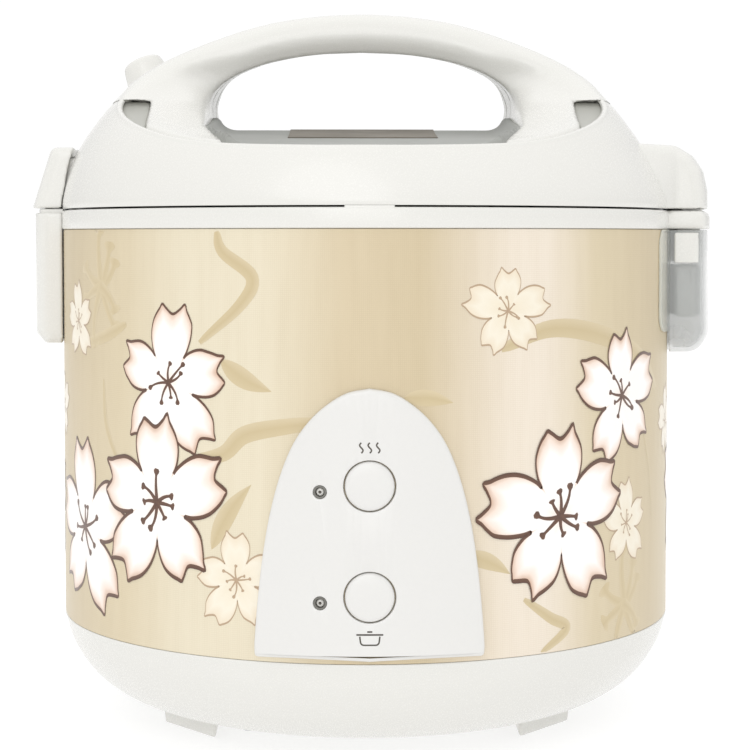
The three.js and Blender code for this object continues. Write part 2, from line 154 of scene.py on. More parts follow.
def lathe(name, profile, segments=160, closed=True):
    """Surface of revolution of (r, z) points about the Z axis. A closed profile is a ring."""
    verts, faces, rows = [], [], []
    for r, z in profile:
        if r < 1e-6:
            rows.append([len(verts)] * segments)
            verts.append((0, 0, z))
            continue
        rows.append(list(range(len(verts), len(verts) + segments)))
        for k in range(segments):
            a = 2 * math.pi * k / segments
            verts.append((r * math.cos(a), r * math.sin(a), z))
    pairs = list(zip(rows, rows[1:]))
    on_axis = profile[0][0] < 1e-6 and profile[-1][0] < 1e-6
    if closed and not on_axis:
        pairs.append((rows[-1], rows[0]))
    for lo, hi in pairs:
        for k in range(segments):
            n = (k + 1) % segments
            quad = [lo[k], lo[n], hi[n], hi[k]]
            face = [v for i, v in enumerate(quad) if v not in quad[:i]]
            if len(face) > 2:
                faces.append(face)
    obj = new_object(name, verts, faces)
    smooth_by_angle(obj, 40)
    return obj


# ---- implicit shapes, meshed by surface nets ----
def polygon_distance(points, px, py):
    """Signed distance to a closed 2-D polygon, negative inside."""
    pts = np.array(points, float)
    best = np.full(px.shape, 1e18)
    inside = np.zeros(px.shape, bool)
    for a, b in zip(pts, np.roll(pts, -1, axis=0)):
        e = b - a
        wx, wy = px - a[0], py - a[1]
        t = np.clip((wx * e[0] + wy * e[1]) / max(e @ e, 1e-12), 0, 1)
        best = np.minimum(best, (wx - e[0] * t) ** 2 + (wy - e[1] * t) ** 2)
        crosses = (a[1] > py) != (b[1] > py)
        slope = e[0] / e[1] if abs(e[1]) > 1e-12 else 0.0
        inside ^= crosses & (px < a[0] + (py - a[1]) * slope)
    return np.sqrt(best) * np.where(inside, -1, 1)


class Outline:
    """A polygon's distance field, sampled once and looked up by bilinear interpolation."""

    def __init__(self, points, step=0.5, margin=14):
        pts = np.array(points, float)
        self.lo, hi = pts.min(0) - margin, pts.max(0) + margin
        self.step = step
        n = np.ceil((hi - self.lo) / step).astype(int) + 2
        gx, gy = np.meshgrid(*[self.lo[k] + step * np.arange(n[k]) for k in (0, 1)], indexing="ij")
        self.field = polygon_distance(pts, gx, gy)

    def __call__(self, u, v):
        fu = np.clip((u - self.lo[0]) / self.step, 0, self.field.shape[0] - 1.001)
        fv = np.clip((v - self.lo[1]) / self.step, 0, self.field.shape[1] - 1.001)
        i, j = fu.astype(int), fv.astype(int)
        a, b = fu - i, fv - j
        f = self.field
        low = f[i, j] * (1 - a) + f[i + 1, j] * a
        high = f[i, j + 1] * (1 - a) + f[i + 1, j + 1] * a
        return low * (1 - b) + high * b


def smax(a, b, k):
    """Smooth intersection with a fillet of about k."""
    h = np.maximum(k - np.abs(a - b), 0) / k
    return np.maximum(a, b) + h * h * k / 4


def smin(a, b, k):
    return -smax(-a, -b, k)


def smoothstep(v, lo, hi):
    t = np.clip((v - lo) / (hi - lo), 0, 1)
    return t * t * (3 - 2 * t)


def surface(name, field, low, high, step):
    """Meshes field(x, y, z) = 0 by surface nets and pulls the vertices onto it."""
    n = [int(math.ceil((high[k] - low[k]) / step)) + 1 for k in range(3)]
    axes = [low[k] + step * np.arange(n[k]) for k in range(3)]
    grid = np.meshgrid(*axes, indexing="ij")
    val = field(*grid)
    inside = val < 0
    total = np.zeros([m - 1 for m in n] + [3])
    hits = np.zeros([m - 1 for m in n])
    corner = [(i, j, k) for i in (0, 1) for j in (0, 1) for k in (0, 1)]

    def part(a, c):
        return a[tuple(slice(c[k], a.shape[k] - 1 + c[k]) for k in range(3))]

    for c0 in corner:
        for ax in range(3):
            if c0[ax]:
                continue
            c1 = tuple(v + (k == ax) for k, v in enumerate(c0))
            v0, v1 = part(val, c0), part(val, c1)
            cross = part(inside, c0) != part(inside, c1)
            t = np.where(cross, v0 / np.where(cross, v0 - v1, 1), 0)
            for k in range(3):
                total[..., k] += np.where(cross, c0[k] + (t if k == ax else 0), 0)
            hits += cross
    used = hits > 0
    index = np.full(hits.shape, -1)
    index[used] = np.arange(used.sum())
    cell = np.argwhere(used)
    verts = np.array(low) + step * (cell + total[used] / hits[used][:, None])
    faces = []
    for ax in range(3):
        b, c = (ax + 1) % 3, (ax + 2) % 3
        first = np.take(inside, range(0, n[ax] - 1), axis=ax)
        second = np.take(inside, range(1, n[ax]), axis=ax)
        at = np.argwhere(first != second)
        ok = (at[:, b] > 0) & (at[:, c] > 0) & (at[:, b] < n[b] - 1) & (at[:, c] < n[c] - 1)
        at = at[ok]
        quad = []
        for db, dc in ((0, 0), (-1, 0), (-1, -1), (0, -1)):
            q = at.copy()
            q[:, b] += db
            q[:, c] += dc
            quad.append(index[tuple(q.T)])
        quad = np.stack(quad, 1)
        flip = ~first[tuple(at.T)]
        quad[flip] = quad[flip][:, ::-1]
        faces.append(quad[:, ::-1])
    faces = np.vstack(faces)
    eps = step * 0.05
    for _ in range(4):
        v = field(*verts.T)
        grad = np.stack([field(*(verts + eps * np.eye(3)[k]).T) - v for k in range(3)], 1) / eps
        size = np.maximum((grad ** 2).sum(1), 0.2)
        move = -(v / size)[:, None] * grad
        length = np.linalg.norm(move, axis=1, keepdims=True)
        verts = verts + move * np.minimum(1, 0.4 * step / np.maximum(length, 1e-9))
    return new_object(name, verts, faces[:, ::-1])


# ---- materials ----
def nodes_of(name):
    mat = bpy.data.materials.new(name)
    mat.use_nodes = True
    tree = mat.node_tree
    shader = tree.nodes["Principled BSDF"]
    return mat, tree, shader


def set_sockets(shader, **values):
    for key, value in values.items():
        shader.inputs[key.replace("_", " ")].default_value = value


def rgba(srgb):
    lin = [((c / 255 + 0.055) / 1.055) ** 2.4 if c > 10 else c / 255 / 12.92 for c in srgb]
    return (*lin, 1.0)


def add_node(tree, kind, inputs=None, **settings):
    """A shader node of a kind, with values by socket name and settings by attribute."""
    node = tree.nodes.new("ShaderNode" + kind)
    for key, value in settings.items():
        setattr(node, key, value)
    for key, value in (inputs or {}).items():
        if isinstance(value, bpy.types.NodeSocket):
            tree.links.new(value, node.inputs[key])
        else:
            node.inputs[key].default_value = value
    return node


def noise(tree, scale, detail=3.0, stretch=(1, 1, 1), roughness=0.5):
    place = add_node(tree, "TexCoord").outputs["Object"]
    place = add_node(tree, "Mapping", {"Scale": stretch, "Vector": place}).outputs["Vector"]
    values = {"Scale": scale, "Detail": detail, "Roughness": roughness, "Vector": place}
    return add_node(tree, "TexNoise", values).outputs["Fac"]


def ramp(tree, fac, stops):
    node = tree.nodes.new("ShaderNodeValToRGB")
    els = node.color_ramp.elements
    while len(els) < len(stops):
        els.new(0.5)
    for el, (pos, colour) in zip(els, stops):
        el.position = pos
        el.color = colour
    tree.links.new(fac, node.inputs["Fac"])
    return node.outputs["Color"]


def bump(tree, shader, height, strength, distance=0.0002):
    node = add_node(tree, "Bump", {"Strength": strength, "Distance": distance, "Height": height})
    tree.links.new(node.outputs["Normal"], shader.inputs["Normal"])


def tint(tree, shader, fac, stops):
    """Base colour from a pattern, by stops of (place, sRGB colour)."""
    colour = ramp(tree, fac, [(place, rgba(c)) for place, c in stops])
    tree.links.new(colour, shader.inputs["Base Color"])


def varied(name, light, dark, roughness, scale=14.0, bump_scale=900, bump_strength=0.08, **sockets):
    """A moulded or metal surface: slow colour drift, roughness drift and a fine bump."""
    mat, tree, shader = nodes_of(name)
    tint(tree, shader, noise(tree, scale, 2), [(0.3, dark), (0.7, light)])
    span = {"To Min": roughness * 0.85, "To Max": roughness * 1.2, "Value": noise(tree, scale * 3, 3)}
    rough = add_node(tree, "MapRange", span)
    tree.links.new(rough.outputs["Result"], shader.inputs["Roughness"])
    bump(tree, shader, noise(tree, bump_scale, 2), bump_strength)
    set_sockets(shader, **sockets)
    return mat


def brushed(name, light, dark, roughness, stretch):
    mat, tree, shader = nodes_of(name)
    lines = noise(tree, 60, 4, stretch)
    tint(tree, shader, lines, [(0.3, dark), (0.7, light)])
    set_sockets(shader, Metallic=1.0, Roughness=roughness)
    bump(tree, shader, lines, 0.15, 0.0001)
    return mat


def spun(name, light, dark, roughness):
    """Metal turned on a lathe: fine rings about the Z axis."""
    mat, tree, shader = nodes_of(name)
    values = {"Scale": 240, "Distortion": 2.5, "Detail": 3,
              "Vector": add_node(tree, "TexCoord").outputs["Object"]}
    rings = add_node(tree, "TexWave", values, wave_type="RINGS", rings_direction="Z")
    tint(tree, shader, rings.outputs["Fac"], [(0.0, dark), (1.0, light)])
    set_sockets(shader, Metallic=1.0, Roughness=roughness)
    bump(tree, shader, rings.outputs["Fac"], 0.12, 0.00005)
    return mat


WHITE = varied("white_plastic", (224, 223, 218), (223, 222, 217), 0.26, 700, bump_strength=0.03, IOR=1.5,
               Coat_Weight=0.25, Coat_Roughness=0.08)
PANEL_WHITE = varied("panel_plastic", (223, 222, 219), (222, 221, 218), 0.3, 700, bump_strength=0.03,
                     IOR=1.5, Coat_Weight=0.15, Coat_Roughness=0.15)
GREY_RUBBER = varied("pad_rubber", (150, 148, 144), (128, 126, 122), 0.75, bump_scale=1800, bump_strength=0.3)
SILICONE = varied("seal_silicone", (222, 221, 216), (208, 206, 200), 0.5, bump_strength=0.15)
LINER_GREY = varied("cup_liner", (196, 197, 194), (186, 188, 185), 0.5, bump_strength=0.1)
BLACK = varied("black_plastic", (38, 37, 36), (26, 25, 25), 0.45, bump_scale=1500, bump_strength=0.25)
STEEL = brushed("plain_steel", (196, 198, 200), (160, 162, 164), 0.3, (1, 1, 12))
ALUMINIUM = spun("satin_aluminium", (214, 216, 218), (204, 206, 208), 0.34)
POT_OUT = spun("pot_outside", (180, 181, 182), (168, 169, 171), 0.4)
BRASS = brushed("contact_brass", (214, 178, 104), (176, 138, 70), 0.3, (1, 1, 8))
BOARD = varied("circuit_board", (52, 112, 74), (36, 88, 56), 0.5, scale=60)
RED_WIRE = varied("red_wire", (176, 52, 44), (150, 38, 32), 0.45)
LABEL = varied("blank_label", (136, 130, 120), (120, 114, 104), 0.55, scale=40, bump_strength=0.05,
               Specular_IOR_Level=0.15)
# Dark of the wells behind the buttons: painted shade, seen through the gap round each cap.
BUTTON_GAP_SHADE = varied("button_gap_painted_shade", (58, 56, 52), (44, 42, 40), 0.7)
LAMP_RING = varied("lamp_surround", (122, 120, 114), (108, 106, 100), 0.4)
ICON = varied("panel_print", (84, 78, 70), (70, 65, 58), 0.5)


def nonstick():
    mat, tree, shader = nodes_of("nonstick")
    speck = noise(tree, 900, 2, roughness=0.7)
    tint(tree, shader, speck, [(0.44, (74, 75, 77)), (0.6, (88, 89, 91)), (0.7, (128, 129, 132))])
    set_sockets(shader, Roughness=0.38, Coat_Weight=0.2)
    bump(tree, shader, speck, 0.12)
    return mat


def clear_cup(name, light, dark, alpha):
    mat, tree, shader = nodes_of(name)
    tint(tree, shader, noise(tree, 40, 3), [(0.3, dark), (0.7, light)])
    set_sockets(shader, Roughness=0.2, Alpha=alpha, IOR=1.49, Coat_Weight=0.5, Coat_Roughness=0.05)
    return mat


def lamp():
    mat, tree, shader = nodes_of("lamp_lens")
    tint(tree, shader, noise(tree, 300, 2), [(0.3, (202, 200, 194)), (0.7, (216, 214, 208))])
    set_sockets(shader, Roughness=0.12, Coat_Weight=1.0)
    return mat


NONSTICK = nonstick()
CLEAR = clear_cup("frosted_clear", (204, 206, 204), (194, 196, 194), 0.4)
GUIDE_CLEAR = clear_cup("guide_clear", (236, 238, 230), (226, 228, 220), 0.45)
LAMP = lamp()


# ---- the printed steel shell ----
def wave(tree, vector, scale, distortion, direction):
    values = {"Scale": scale, "Distortion": distortion, "Detail": 2, "Detail Scale": 3, "Vector": vector}
    return add_node(tree, "TexWave", values, wave_type="BANDS", bands_direction=direction).outputs["Fac"]


def printed_shell():
    """Beige lacquered sheet: broad vertical tones round the body, partly the print's tone and partly painted
    reflection, and a fine linen weave.
    The UV map holds arc length and height in metres."""
    mat, tree, shader = nodes_of("printed_shell")
    uv = add_node(tree, "UVMap").outputs["UV"]
    arc = add_node(tree, "SeparateXYZ", {"Vector": uv}).outputs["X"]
    half_turn = math.pi * SHELL_R * MM
    span = add_node(tree, "MapRange", {"From Min": -half_turn, "From Max": half_turn, "Value": arc})
    # the bands are partly print tone and partly painted reflection
    stops = [(0.5 + s / (2 * math.pi * SHELL_R), rgba(c)) for s, c in SHELL_TONES_AND_REFLECTIONS]
    base = ramp(tree, span.outputs["Result"], stops)
    warp = wave(tree, uv, 420, 1.2, "X")
    weft = wave(tree, uv, 420, 1.6, "Y")
    cloth = add_node(tree, "Math", {0: warp, 1: weft}, operation="MULTIPLY")
    slub = noise(tree, 260, 4, (1, 1, 0.12))
    weave = add_node(tree, "Math", {0: cloth.outputs[0], 1: slub}, operation="ADD")
    shade = ramp(tree, weave.outputs[0], [(0.3, (0.9, 0.88, 0.84, 1)), (1.0, (1, 1, 1, 1))])
    mix = add_node(tree, "Mix", {"Factor": 0.75, 6: base, 7: shade}, data_type="RGBA", blend_type="MULTIPLY")
    tree.links.new(mix.outputs[2], shader.inputs["Base Color"])
    set_sockets(shader, Roughness=0.42, Coat_Weight=0.2, Coat_Roughness=0.15)
    bump(tree, shader, weave.outputs[0], 0.12, 0.0001)
    return mat


# The sheet's soft vertical bands, partly its print tone and partly painted reflection of the room on the
# lacquer: four tones, and the arc length in mm from the front centre line where each is fullest.
TAN = (206, 190, 158)
BEIGE = (216, 202, 172)
CREAM = (226, 216, 192)
BLUSH = (233, 222, 206)
SHELL_TONES_AND_REFLECTIONS = [
    (-402, BEIGE), (-300, CREAM), (-215, TAN), (-150, TAN), (-105, BEIGE), (-75, CREAM), (-40, CREAM),
    (-10, TAN), (20, TAN), (55, BLUSH), (70, BLUSH), (95, BEIGE), (140, TAN), (190, BEIGE), (240, TAN),
    (310, CREAM), (402, BEIGE),
]


def on_shell(s, z, lift):
    """Arc length s from the front centre line and height z to a point lift above the shell."""
    a = s / SHELL_R
    r = SHELL_R + lift
    return (r * math.sin(a), -r * math.cos(a), z)


def make_shell():
    segments = 256
    t = 1.0
    low, high = INLET_Z[0] - 0.5, INLET_Z[1] + 0.5
    outer = [(SHELL_R, SHELL_Z[0]), (SHELL_R, low), (SHELL_R, high), (SHELL_R, SHELL_Z[1])]
    profile = round_corners(outer + [(r - t, z) for r, z in outer[::-1]], 0.4, 2, closed=True)
    obj = lathe("shell_sheet", profile, segments)
    with editing(obj) as bm:
        centres = [(f, f.calc_center_median() / MM) for f in bm.faces]
        window = [f for f, c in centres if c.y > 0 and abs(c.x) < INLET_HALF and low < c.z < high]
        bmesh.ops.delete(bm, geom=window, context="FACES")
    layer = obj.data.uv_layers.new(name="UVMap")
    for poly in obj.data.polygons:
        angles = []
        for li in poly.loop_indices:
            v = obj.data.vertices[obj.data.loops[li].vertex_index].co
            angles.append(math.atan2(v.x, -v.y))
        wraps = max(angles) - min(angles) > math.pi
        for li, a in zip(poly.loop_indices, angles):
            if wraps and a < 0:
                a += 2 * math.pi
            v = obj.data.vertices[obj.data.loops[li].vertex_index].co
            layer.data[li].uv = (a * SHELL_R * MM, v.z)
    finish_piece(obj, "body", printed_shell(), ["outer_shell"])


make_shell()


# ---- base and feet ----
BASE_PROFILE = [
    (128, 44.3), (126.9, 40), (125.4, 35), (122.9, 30), (119.6, 25), (115.2, 20), (108.6, 15),
    (101, 11), (91.4, 8), (83.5, 6.2), (76, 5), (66, 4.6),
]
FOOT_PLAN = [(82.6, 35.6), (61.7, 60.6), (61.7, 41), (70, 31)]


def make_base():
    outer = spline(BASE_PROFILE, 6)
    inner = [(60, 7), (78, 7.4), (98, 13), (110, 19.5), (118.5, 29), (123, 38), (125.2, 43.4)]
    rim = round_corners([(125.2, 43.4), (125.2, 44.5), (128.0, 44.5), (128.0, 43.6)], 0.5, 3)
    profile = [(0, 4.6), *outer[::-1][:-3], *rim[::-1][:-1], *spline(inner, 3)[::-1], (0, 7)]
    white(lathe("base_tray", profile, 192), "body", "base")


def make_feet():
    """Four feet, each a block whose outer face crosses the corner, with a rubber pad under it."""
    plan = Outline(FOOT_PLAN)
    sides = {"front_left": (-1, -1), "front_right": (1, -1), "back_left": (-1, 1), "back_right": (1, 1)}
    for name, (sx, sy) in sides.items():
        low, high = zip(sorted((54 * sx, 90 * sx)), sorted((24 * sy, 68 * sy)))

        def foot(x, y, z):
            d = plan(x * sx, y * sy) - (z - 1.6) * 0.08 - 0.8
            return smax(d, np.maximum(0.7 - z, z - 15), 1.0)

        def pad(x, y, z):
            return smax(plan(x * sx, y * sy) + 4.2, np.abs(z - 1.0) - 1.0, 0.6)

        white(surface(f"foot_{name}", foot, (*low, -1), (*high, 17), 0.9), "body")
        under = surface(f"foot_pad_{name}", pad, (*low, -1), (*high, 3.2), 0.8)
        finish_piece(under, "body", GREY_RUBBER, [f"foot_pad_{name}"])


# ---- control panel ----
PANEL_HALF = [
    (0, 146.2), (8, 144.6), (15, 140.6), (22, 134.2), (28, 125.6), (33, 113.5), (37, 98.5), (39.8, 82),
    (41.6, 66), (42.6, 54), (42.8, 50),
]


def panel_outline():
    side = spline(PANEL_HALF, 5)
    corner = round_corners([(42.8, 50), (42.6, 46.7), (0, 46.0)], [0, 3.2, 0], 6)
    half = side[:-1] + corner
    return half + [(-s, z) for s, z in reversed(half[1:-1])]


def circle(cx, cz, r, n=48):
    turns = [2 * math.pi * k / n for k in range(n)]
    return [(cx + r * math.cos(a), cz + r * math.sin(a)) for a in turns]


def inset(points, d):
    """Moves a closed outline inwards by d (outwards if negative)."""
    pts = [Vector(p) for p in points]
    area = sum(a.x * b.y - b.x * a.y for a, b in zip(pts, pts[1:] + pts[:1]))
    sign = 1 if area > 0 else -1
    out = []
    for i, p in enumerate(pts):
        e = (pts[(i + 1) % len(pts)] - pts[i - 1]).normalized()
        out.append(tuple(p + Vector((-e.y, e.x)) * d * sign))
    return out


def flat_sheet(outline, holes, cut_step):
    """Filled 2-D mesh of an outline with holes, sliced so that it can bend round the shell."""
    bm = bmesh.new()
    edges = []
    for loop in [outline, *holes]:
        vs = [bm.verts.new((x, z, 0)) for x, z in loop]
        edges += [bm.edges.new((a, b)) for a, b in zip(vs, vs[1:] + vs[:1])]
    bmesh.ops.triangle_fill(bm, edges=edges, use_beauty=True, normal=(0, 0, 1))
    lo = min(p[0] for p in outline)
    hi = max(p[0] for p in outline)
    for x in np.arange(math.ceil(lo / cut_step) * cut_step, hi, cut_step):
        geom = bm.verts[:] + bm.edges[:] + bm.faces[:]
        bmesh.ops.bisect_plane(bm, geom=geom, plane_co=(x, 0, 0), plane_no=(1, 0, 0))
    for f in bm.faces:
        if f.normal.z < 0:
            f.normal_flip()
    return bm


def wrapped(bm, radius):
    """Vertices and faces of a flat sheet bent round the shell at a radius."""
    bm.verts.index_update()
    verts = []
    for v in bm.verts:
        a = v.co.x / SHELL_R
        verts.append((radius * math.sin(a), -radius * math.cos(a), v.co.y))
    faces = [[v.index for v in f.verts] for f in bm.faces]
    bm.free()
    return verts, faces


def make_panel():
    outline = panel_outline()
    holes = []
    for z in BUTTONS.values():
        holes.append(circle(0, z, BUTTON_R + 0.42, 64))
        holes.append(circle(LED_X, z - LED_DROP, 2.5, 32))
    round_r = 1.5
    face = inset(outline, round_r)
    bm = flat_sheet(face, [inset(h, -0.35) for h in holes], 3.0)
    verts, faces = wrapped(bm, PANEL_R[1])

    def strip(loop, steps):
        n = len(loop)
        start = len(verts)
        for d, r in steps:
            for s, z in inset(loop, d):
                a = s / SHELL_R
                verts.append((r * math.sin(a), -r * math.cos(a), z))
        for row in range(len(steps) - 1):
            for k in range(n):
                m = (k + 1) % n
                a, b = start + row * n, start + (row + 1) * n
                faces.append([a + k, a + m, b + m, b + k])

    arc = [(round_r * (1 - math.sin(t)), PANEL_R[1] - round_r * (1 - math.cos(t)))
           for t in np.linspace(0, math.pi / 2, 6)]
    strip(outline, arc + [(0, PANEL_R[0])])
    for h in holes:
        strip(h, [(-0.35, PANEL_R[1]), (-0.1, PANEL_R[1] - 0.1), (0, PANEL_R[1] - 0.35), (0, PANEL_R[0] - 1)])
    obj = new_object("panel_face", verts, faces)
    with editing(obj) as bm:
        bmesh.ops.remove_doubles(bm, verts=bm.verts, dist=1e-6)
        bmesh.ops.recalc_face_normals(bm, faces=bm.faces)
    smooth_by_angle(obj, 45)
    finish_piece(obj, "body", PANEL_WHITE, ["control_panel"])


def turned_to_front(obj, x, z):
    """Stands a lathe made about Z on the front face, its axis towards the viewer."""
    a = x / SHELL_R
    turn = Matrix.Rotation(a, 4, "Z") @ Matrix.Rotation(math.radians(90), 4, "X")
    at = Vector(on_shell(x, z, 0)) * MM
    obj.data.transform(Matrix.Translation(at) @ turn)
    return obj


BUTTON_CAP = [(0, 3.35), (5, 3.28), (7.4, 3.1), (8.5, 2.85), (8.9, 2.45), (9.1, 1.8), (9.1, -5), (0, -5)]
LENS = [(0, 2.3), (1.0, 2.2), (1.45, 1.8), (1.6, 1.2), (1.6, -5), (0, -5)]
LENS_RING = round_corners([(1.7, 0), (1.7, 2.6), (2.45, 2.9), (2.45, 0)], 0.2, 2, closed=True)
LENS_CORE = [(0, 2.75), (0.4, 2.7), (0.55, 2.5), (0.55, 1.6), (0, 1.6)]
WELL = [(0, -0.8), (BUTTON_R + 1.4, -0.8), (BUTTON_R + 1.4, -1.6), (0, -1.6)]


def make_buttons():
    """Each button's cap and the well behind it, dark as painted shade for the gap round the cap, and its
    lamp's lens, surround and core.
    """
    for name, z in BUTTONS.items():
        lamp_z = z - LED_DROP
        button = f"{name}_button"
        for part, profile, segments, x, height, body, slot, material, stands_for in (
            ("button_cap", BUTTON_CAP, 64, 0, z, button, "white_plastic", PANEL_WHITE, button),
            ("lamp", LENS, 32, LED_X, lamp_z, "body", "lamp_lens", LAMP, f"led_lens_{name}"),
            ("lamp_ring", LENS_RING, 32, LED_X, lamp_z, "body", "dark_plastic", LAMP_RING, None),
            ("lamp_core", LENS_CORE, 24, LED_X, lamp_z, "body", "dark_plastic", ICON, None),
            # the well's dark colour is painted shade for the gap round the cap
            ("button_well", WELL, 48, 0, z, "body", "dark_plastic", BUTTON_GAP_SHADE, None),
        ):
            piece = turned_to_front(lathe(f"{name}_{part}", profile, segments), x, height)
            finish_piece(piece, body, material, [stands_for] if stands_for else ())


# ---- upper ring and hinge seat ----
BOW = 0.0068


def slab(x, y, reach, half, rounding):
    """A bowed block out to a reach in x and a half width in y, its corners rounded."""
    return smax(bowed(x, y) - reach, np.abs(y) - half, rounding)


def bowed(x, y):
    """X with the side pieces' fronts bowed round the body, so the ends lie further in."""
    return x + np.sign(x) * BOW * y * y


def make_ring():
    top, low = RING_Z[1], RING_Z[0]
    profile = round_corners(
        [(106.8, 202), (126.6, 202), (126.6, low - 0.2), (RING_R, low - 0.1), (RING_R, top),
         (116.2, top), (114.3, 205.2), (106.8, 205.2)],
        [0.5, 0.3, 0.2, 0.7, 1.0, 1.6, 1.2, 0.8], 4, closed=True)
    white(lathe("ring_band", profile, 256), "body", "body_ring")
    lobe = Outline([(118, low), (146.4, low), (146.4, HINGE[1]), (145.8, HINGE[1] + 1.6), (144.4, top - 0.2),
                    (142.8, top), (118, top)])

    def field(x, y, z):
        d = smax(lobe(bowed(x, y), z), np.abs(y) - SIDE_HALF - 0.6, 3.0)
        return np.maximum(d, 128.0 - np.hypot(x, y))

    white(surface("ring_hinge_seat", field, (118, -35, low - 2), (149, 35, top + 2), 0.8), "body")

    def block(x, y, z):
        d = smax(np.abs(x - 135.5) - 4.5, np.abs(y) - 26, 1.0)
        return smax(d, np.maximum(z - 213.8, 208 - z), 0.8)

    white(surface("hinge_stop_block", block, (129, -28, 206), (142, 28, 216), 0.7), "body")


# ---- side pieces ----
def prism_piece(name, outline, half, rounding, low, high, step, floor=None, roof=None, extra=None):
    """An outline in (x, z) drawn out across y, bowed round the body, cut flat at a floor or roof."""
    shape = Outline(outline)

    def field(x, y, z):
        width = half(x, y, z) if callable(half) else half
        d = smax(shape(bowed(x, y), z), np.abs(y) - width, rounding)
        if floor:
            d = smax(d, floor - z, 0.8)
        if roof:
            d = smax(d, z - roof, 0.8)
        return extra(x, y, z, d) if extra else d

    return surface(name, field, low, high, step)


def make_ring_tab():
    """Low raised tab on the ring, under the lid's edge at the front."""

    def field(x, y, z):
        r = np.hypot(x, y)
        d = np.maximum(r - (RING_R - 0.1), (RING_R - 2.2) - r)
        d = smax(d, np.abs(x) - 9.2, 0.5)
        return smax(np.maximum(d, y + 100), np.maximum(z - LID_Z + 0.06, 211 - z), 0.3)

    white(surface("ring_tab", field, (-11, -131, 210), (11, -124, 214), 0.4), "body")


def make_catch_cover():
    def body_side(x, y, z, d):
        return np.maximum(d, (RING_R + 0.05) - np.hypot(x, y))

    outline = round_corners([(-112, 157), (-136.6, 157), (-140.2, 161.4), (-140.2, 222), (-112, 222)],
                            [0, 2.2, 2.5, 0, 0], 4, closed=True)
    piece = prism_piece("latch_cover", outline, LATCH_HALF, 5.0, (-143, -27, 154), (-118, 27, 214), 0.9,
                        roof=211.4, extra=body_side)
    white(piece, "body", "latch_catch")


def make_lever():
    """The lever, hollow round its spring and cut back so that its swing clears the dome."""

    def clear(x, y, z, d):
        hollow = np.maximum(np.maximum(np.abs(y) - (LATCH_HALF - 3.4), 216 - z), z - 235)
        hollow = np.maximum(hollow, -bowed(x, y) - 136.6 + (z - 216) * 0.3)
        d = smax(d, -hollow, 0.8)
        swing = 0.4 + 0.135 * np.maximum(z - 222, 0)
        return np.maximum(d, dome_radius(z) + swing - np.hypot(x - lid_shift(z), y))

    outline = round_corners([(-118, 204), (-144.4, 204), (-133.4, 238.8), (-118, 238.8)],
                            [0, 0, 3.4, 1.0], 4, closed=True)
    lever = prism_piece("lever_shell", outline, LATCH_HALF - 1, 4.0, (-144, -25, 211), (-117, 25, 241), 0.8,
                        floor=213.5, extra=clear)
    white(lever, "release_lever", "release_lever")
    hook = Outline([(-136.2, 219), (-136.2, 206.8), (-133.6, 206.8), (-133.6, 208.4), (-134.5, 209.6),
                    (-134.5, 219)])
    nose = surface("lever_hook", lambda x, y, z: smax(hook(x, z), np.abs(y) - 6.8, 0.6),
                   (-138, -8, 205), (-132, 8, 221), 0.5)
    white(nose, "release_lever")


def make_latch_seats():
    """The ring's lugs and the lid's boss, which close the gap behind the lever."""

    def ear(x, y, z):
        ay = np.abs(y)
        d = smax(-bowed(x, y) - 138.6, np.maximum(ay - 21, 8.6 - ay), 1.2)
        return np.maximum(smax(d, np.maximum(z - 213.1, 205 - z), 0.6), RING_R - 0.6 - np.hypot(x, y))

    white(surface("ring_latch_seat", ear, (-141, -23, 203), (-124, 23, 215), 0.7), "body")

    def bed(x, y, z):
        proud = dome_radius(z) + 0.5 + 2.6 * smoothstep(z, 215.5, 219)
        d = smax(np.hypot(x - lid_shift(z), y) - proud, np.abs(y) - (LATCH_HALF - 4.4), 1.5)
        d = smax(d, np.maximum(z - 234.2, 214.2 - z), 0.8)
        return np.maximum(np.maximum(d, dome_radius(z) - 1.5 - np.hypot(x - lid_shift(z), y)), x + 90)

    white(surface("lid_latch_boss", bed, (-136, -22, 212), (-110, 22, 237), 0.8), "lid")


def flared(x, y, z):
    """Half width of the hinge column, spreading where it runs into the round body."""
    reach = np.maximum(128 - x, 0)
    return SIDE_HALF - 0.6 + 1.1 * reach * (1 - 0.7 * smoothstep(z, 216, 240))


def make_hinge_cover():
    outline = round_corners(
        [(96, 204), (145.6, 204), (145.4, 221), (143.6, 229), (139.4, 235.2), (132.6, 239.4), (96, 241.0)],
        [0, 0, 4, 5, 5, 5, 0], 4, closed=True)

    def hollow(x, y, z, d):
        room = np.maximum(np.abs(y) - (SIDE_HALF - 2.6), z - 219)
        room = np.maximum(room, bowed(x, y) - 143.3)
        d = smax(d, -room, 0.8)
        swell = dome_radius(z) - 1.2 - np.hypot(x - lid_shift(z), y)
        return np.maximum(d, swell)

    piece = prism_piece("hinge_cover_shell", outline, flared, 5.0, (104, -58, 211), (148, 58, 242), 0.9,
                        floor=213.1, extra=hollow)
    white(piece, "lid", "hinge_cover")


CUP_SIDE = Outline(round_corners([(112, 153.4), (141.6, 153.4), (146.2, 160), (145.4, 216), (112, 216)],
                                 [0, 8, 9, 0, 0], 5, closed=True))


def cup_skin(x, y, z):
    return smax(CUP_SIDE(bowed(x, y), z), np.abs(y) - (SIDE_HALF - 1), 6.0)


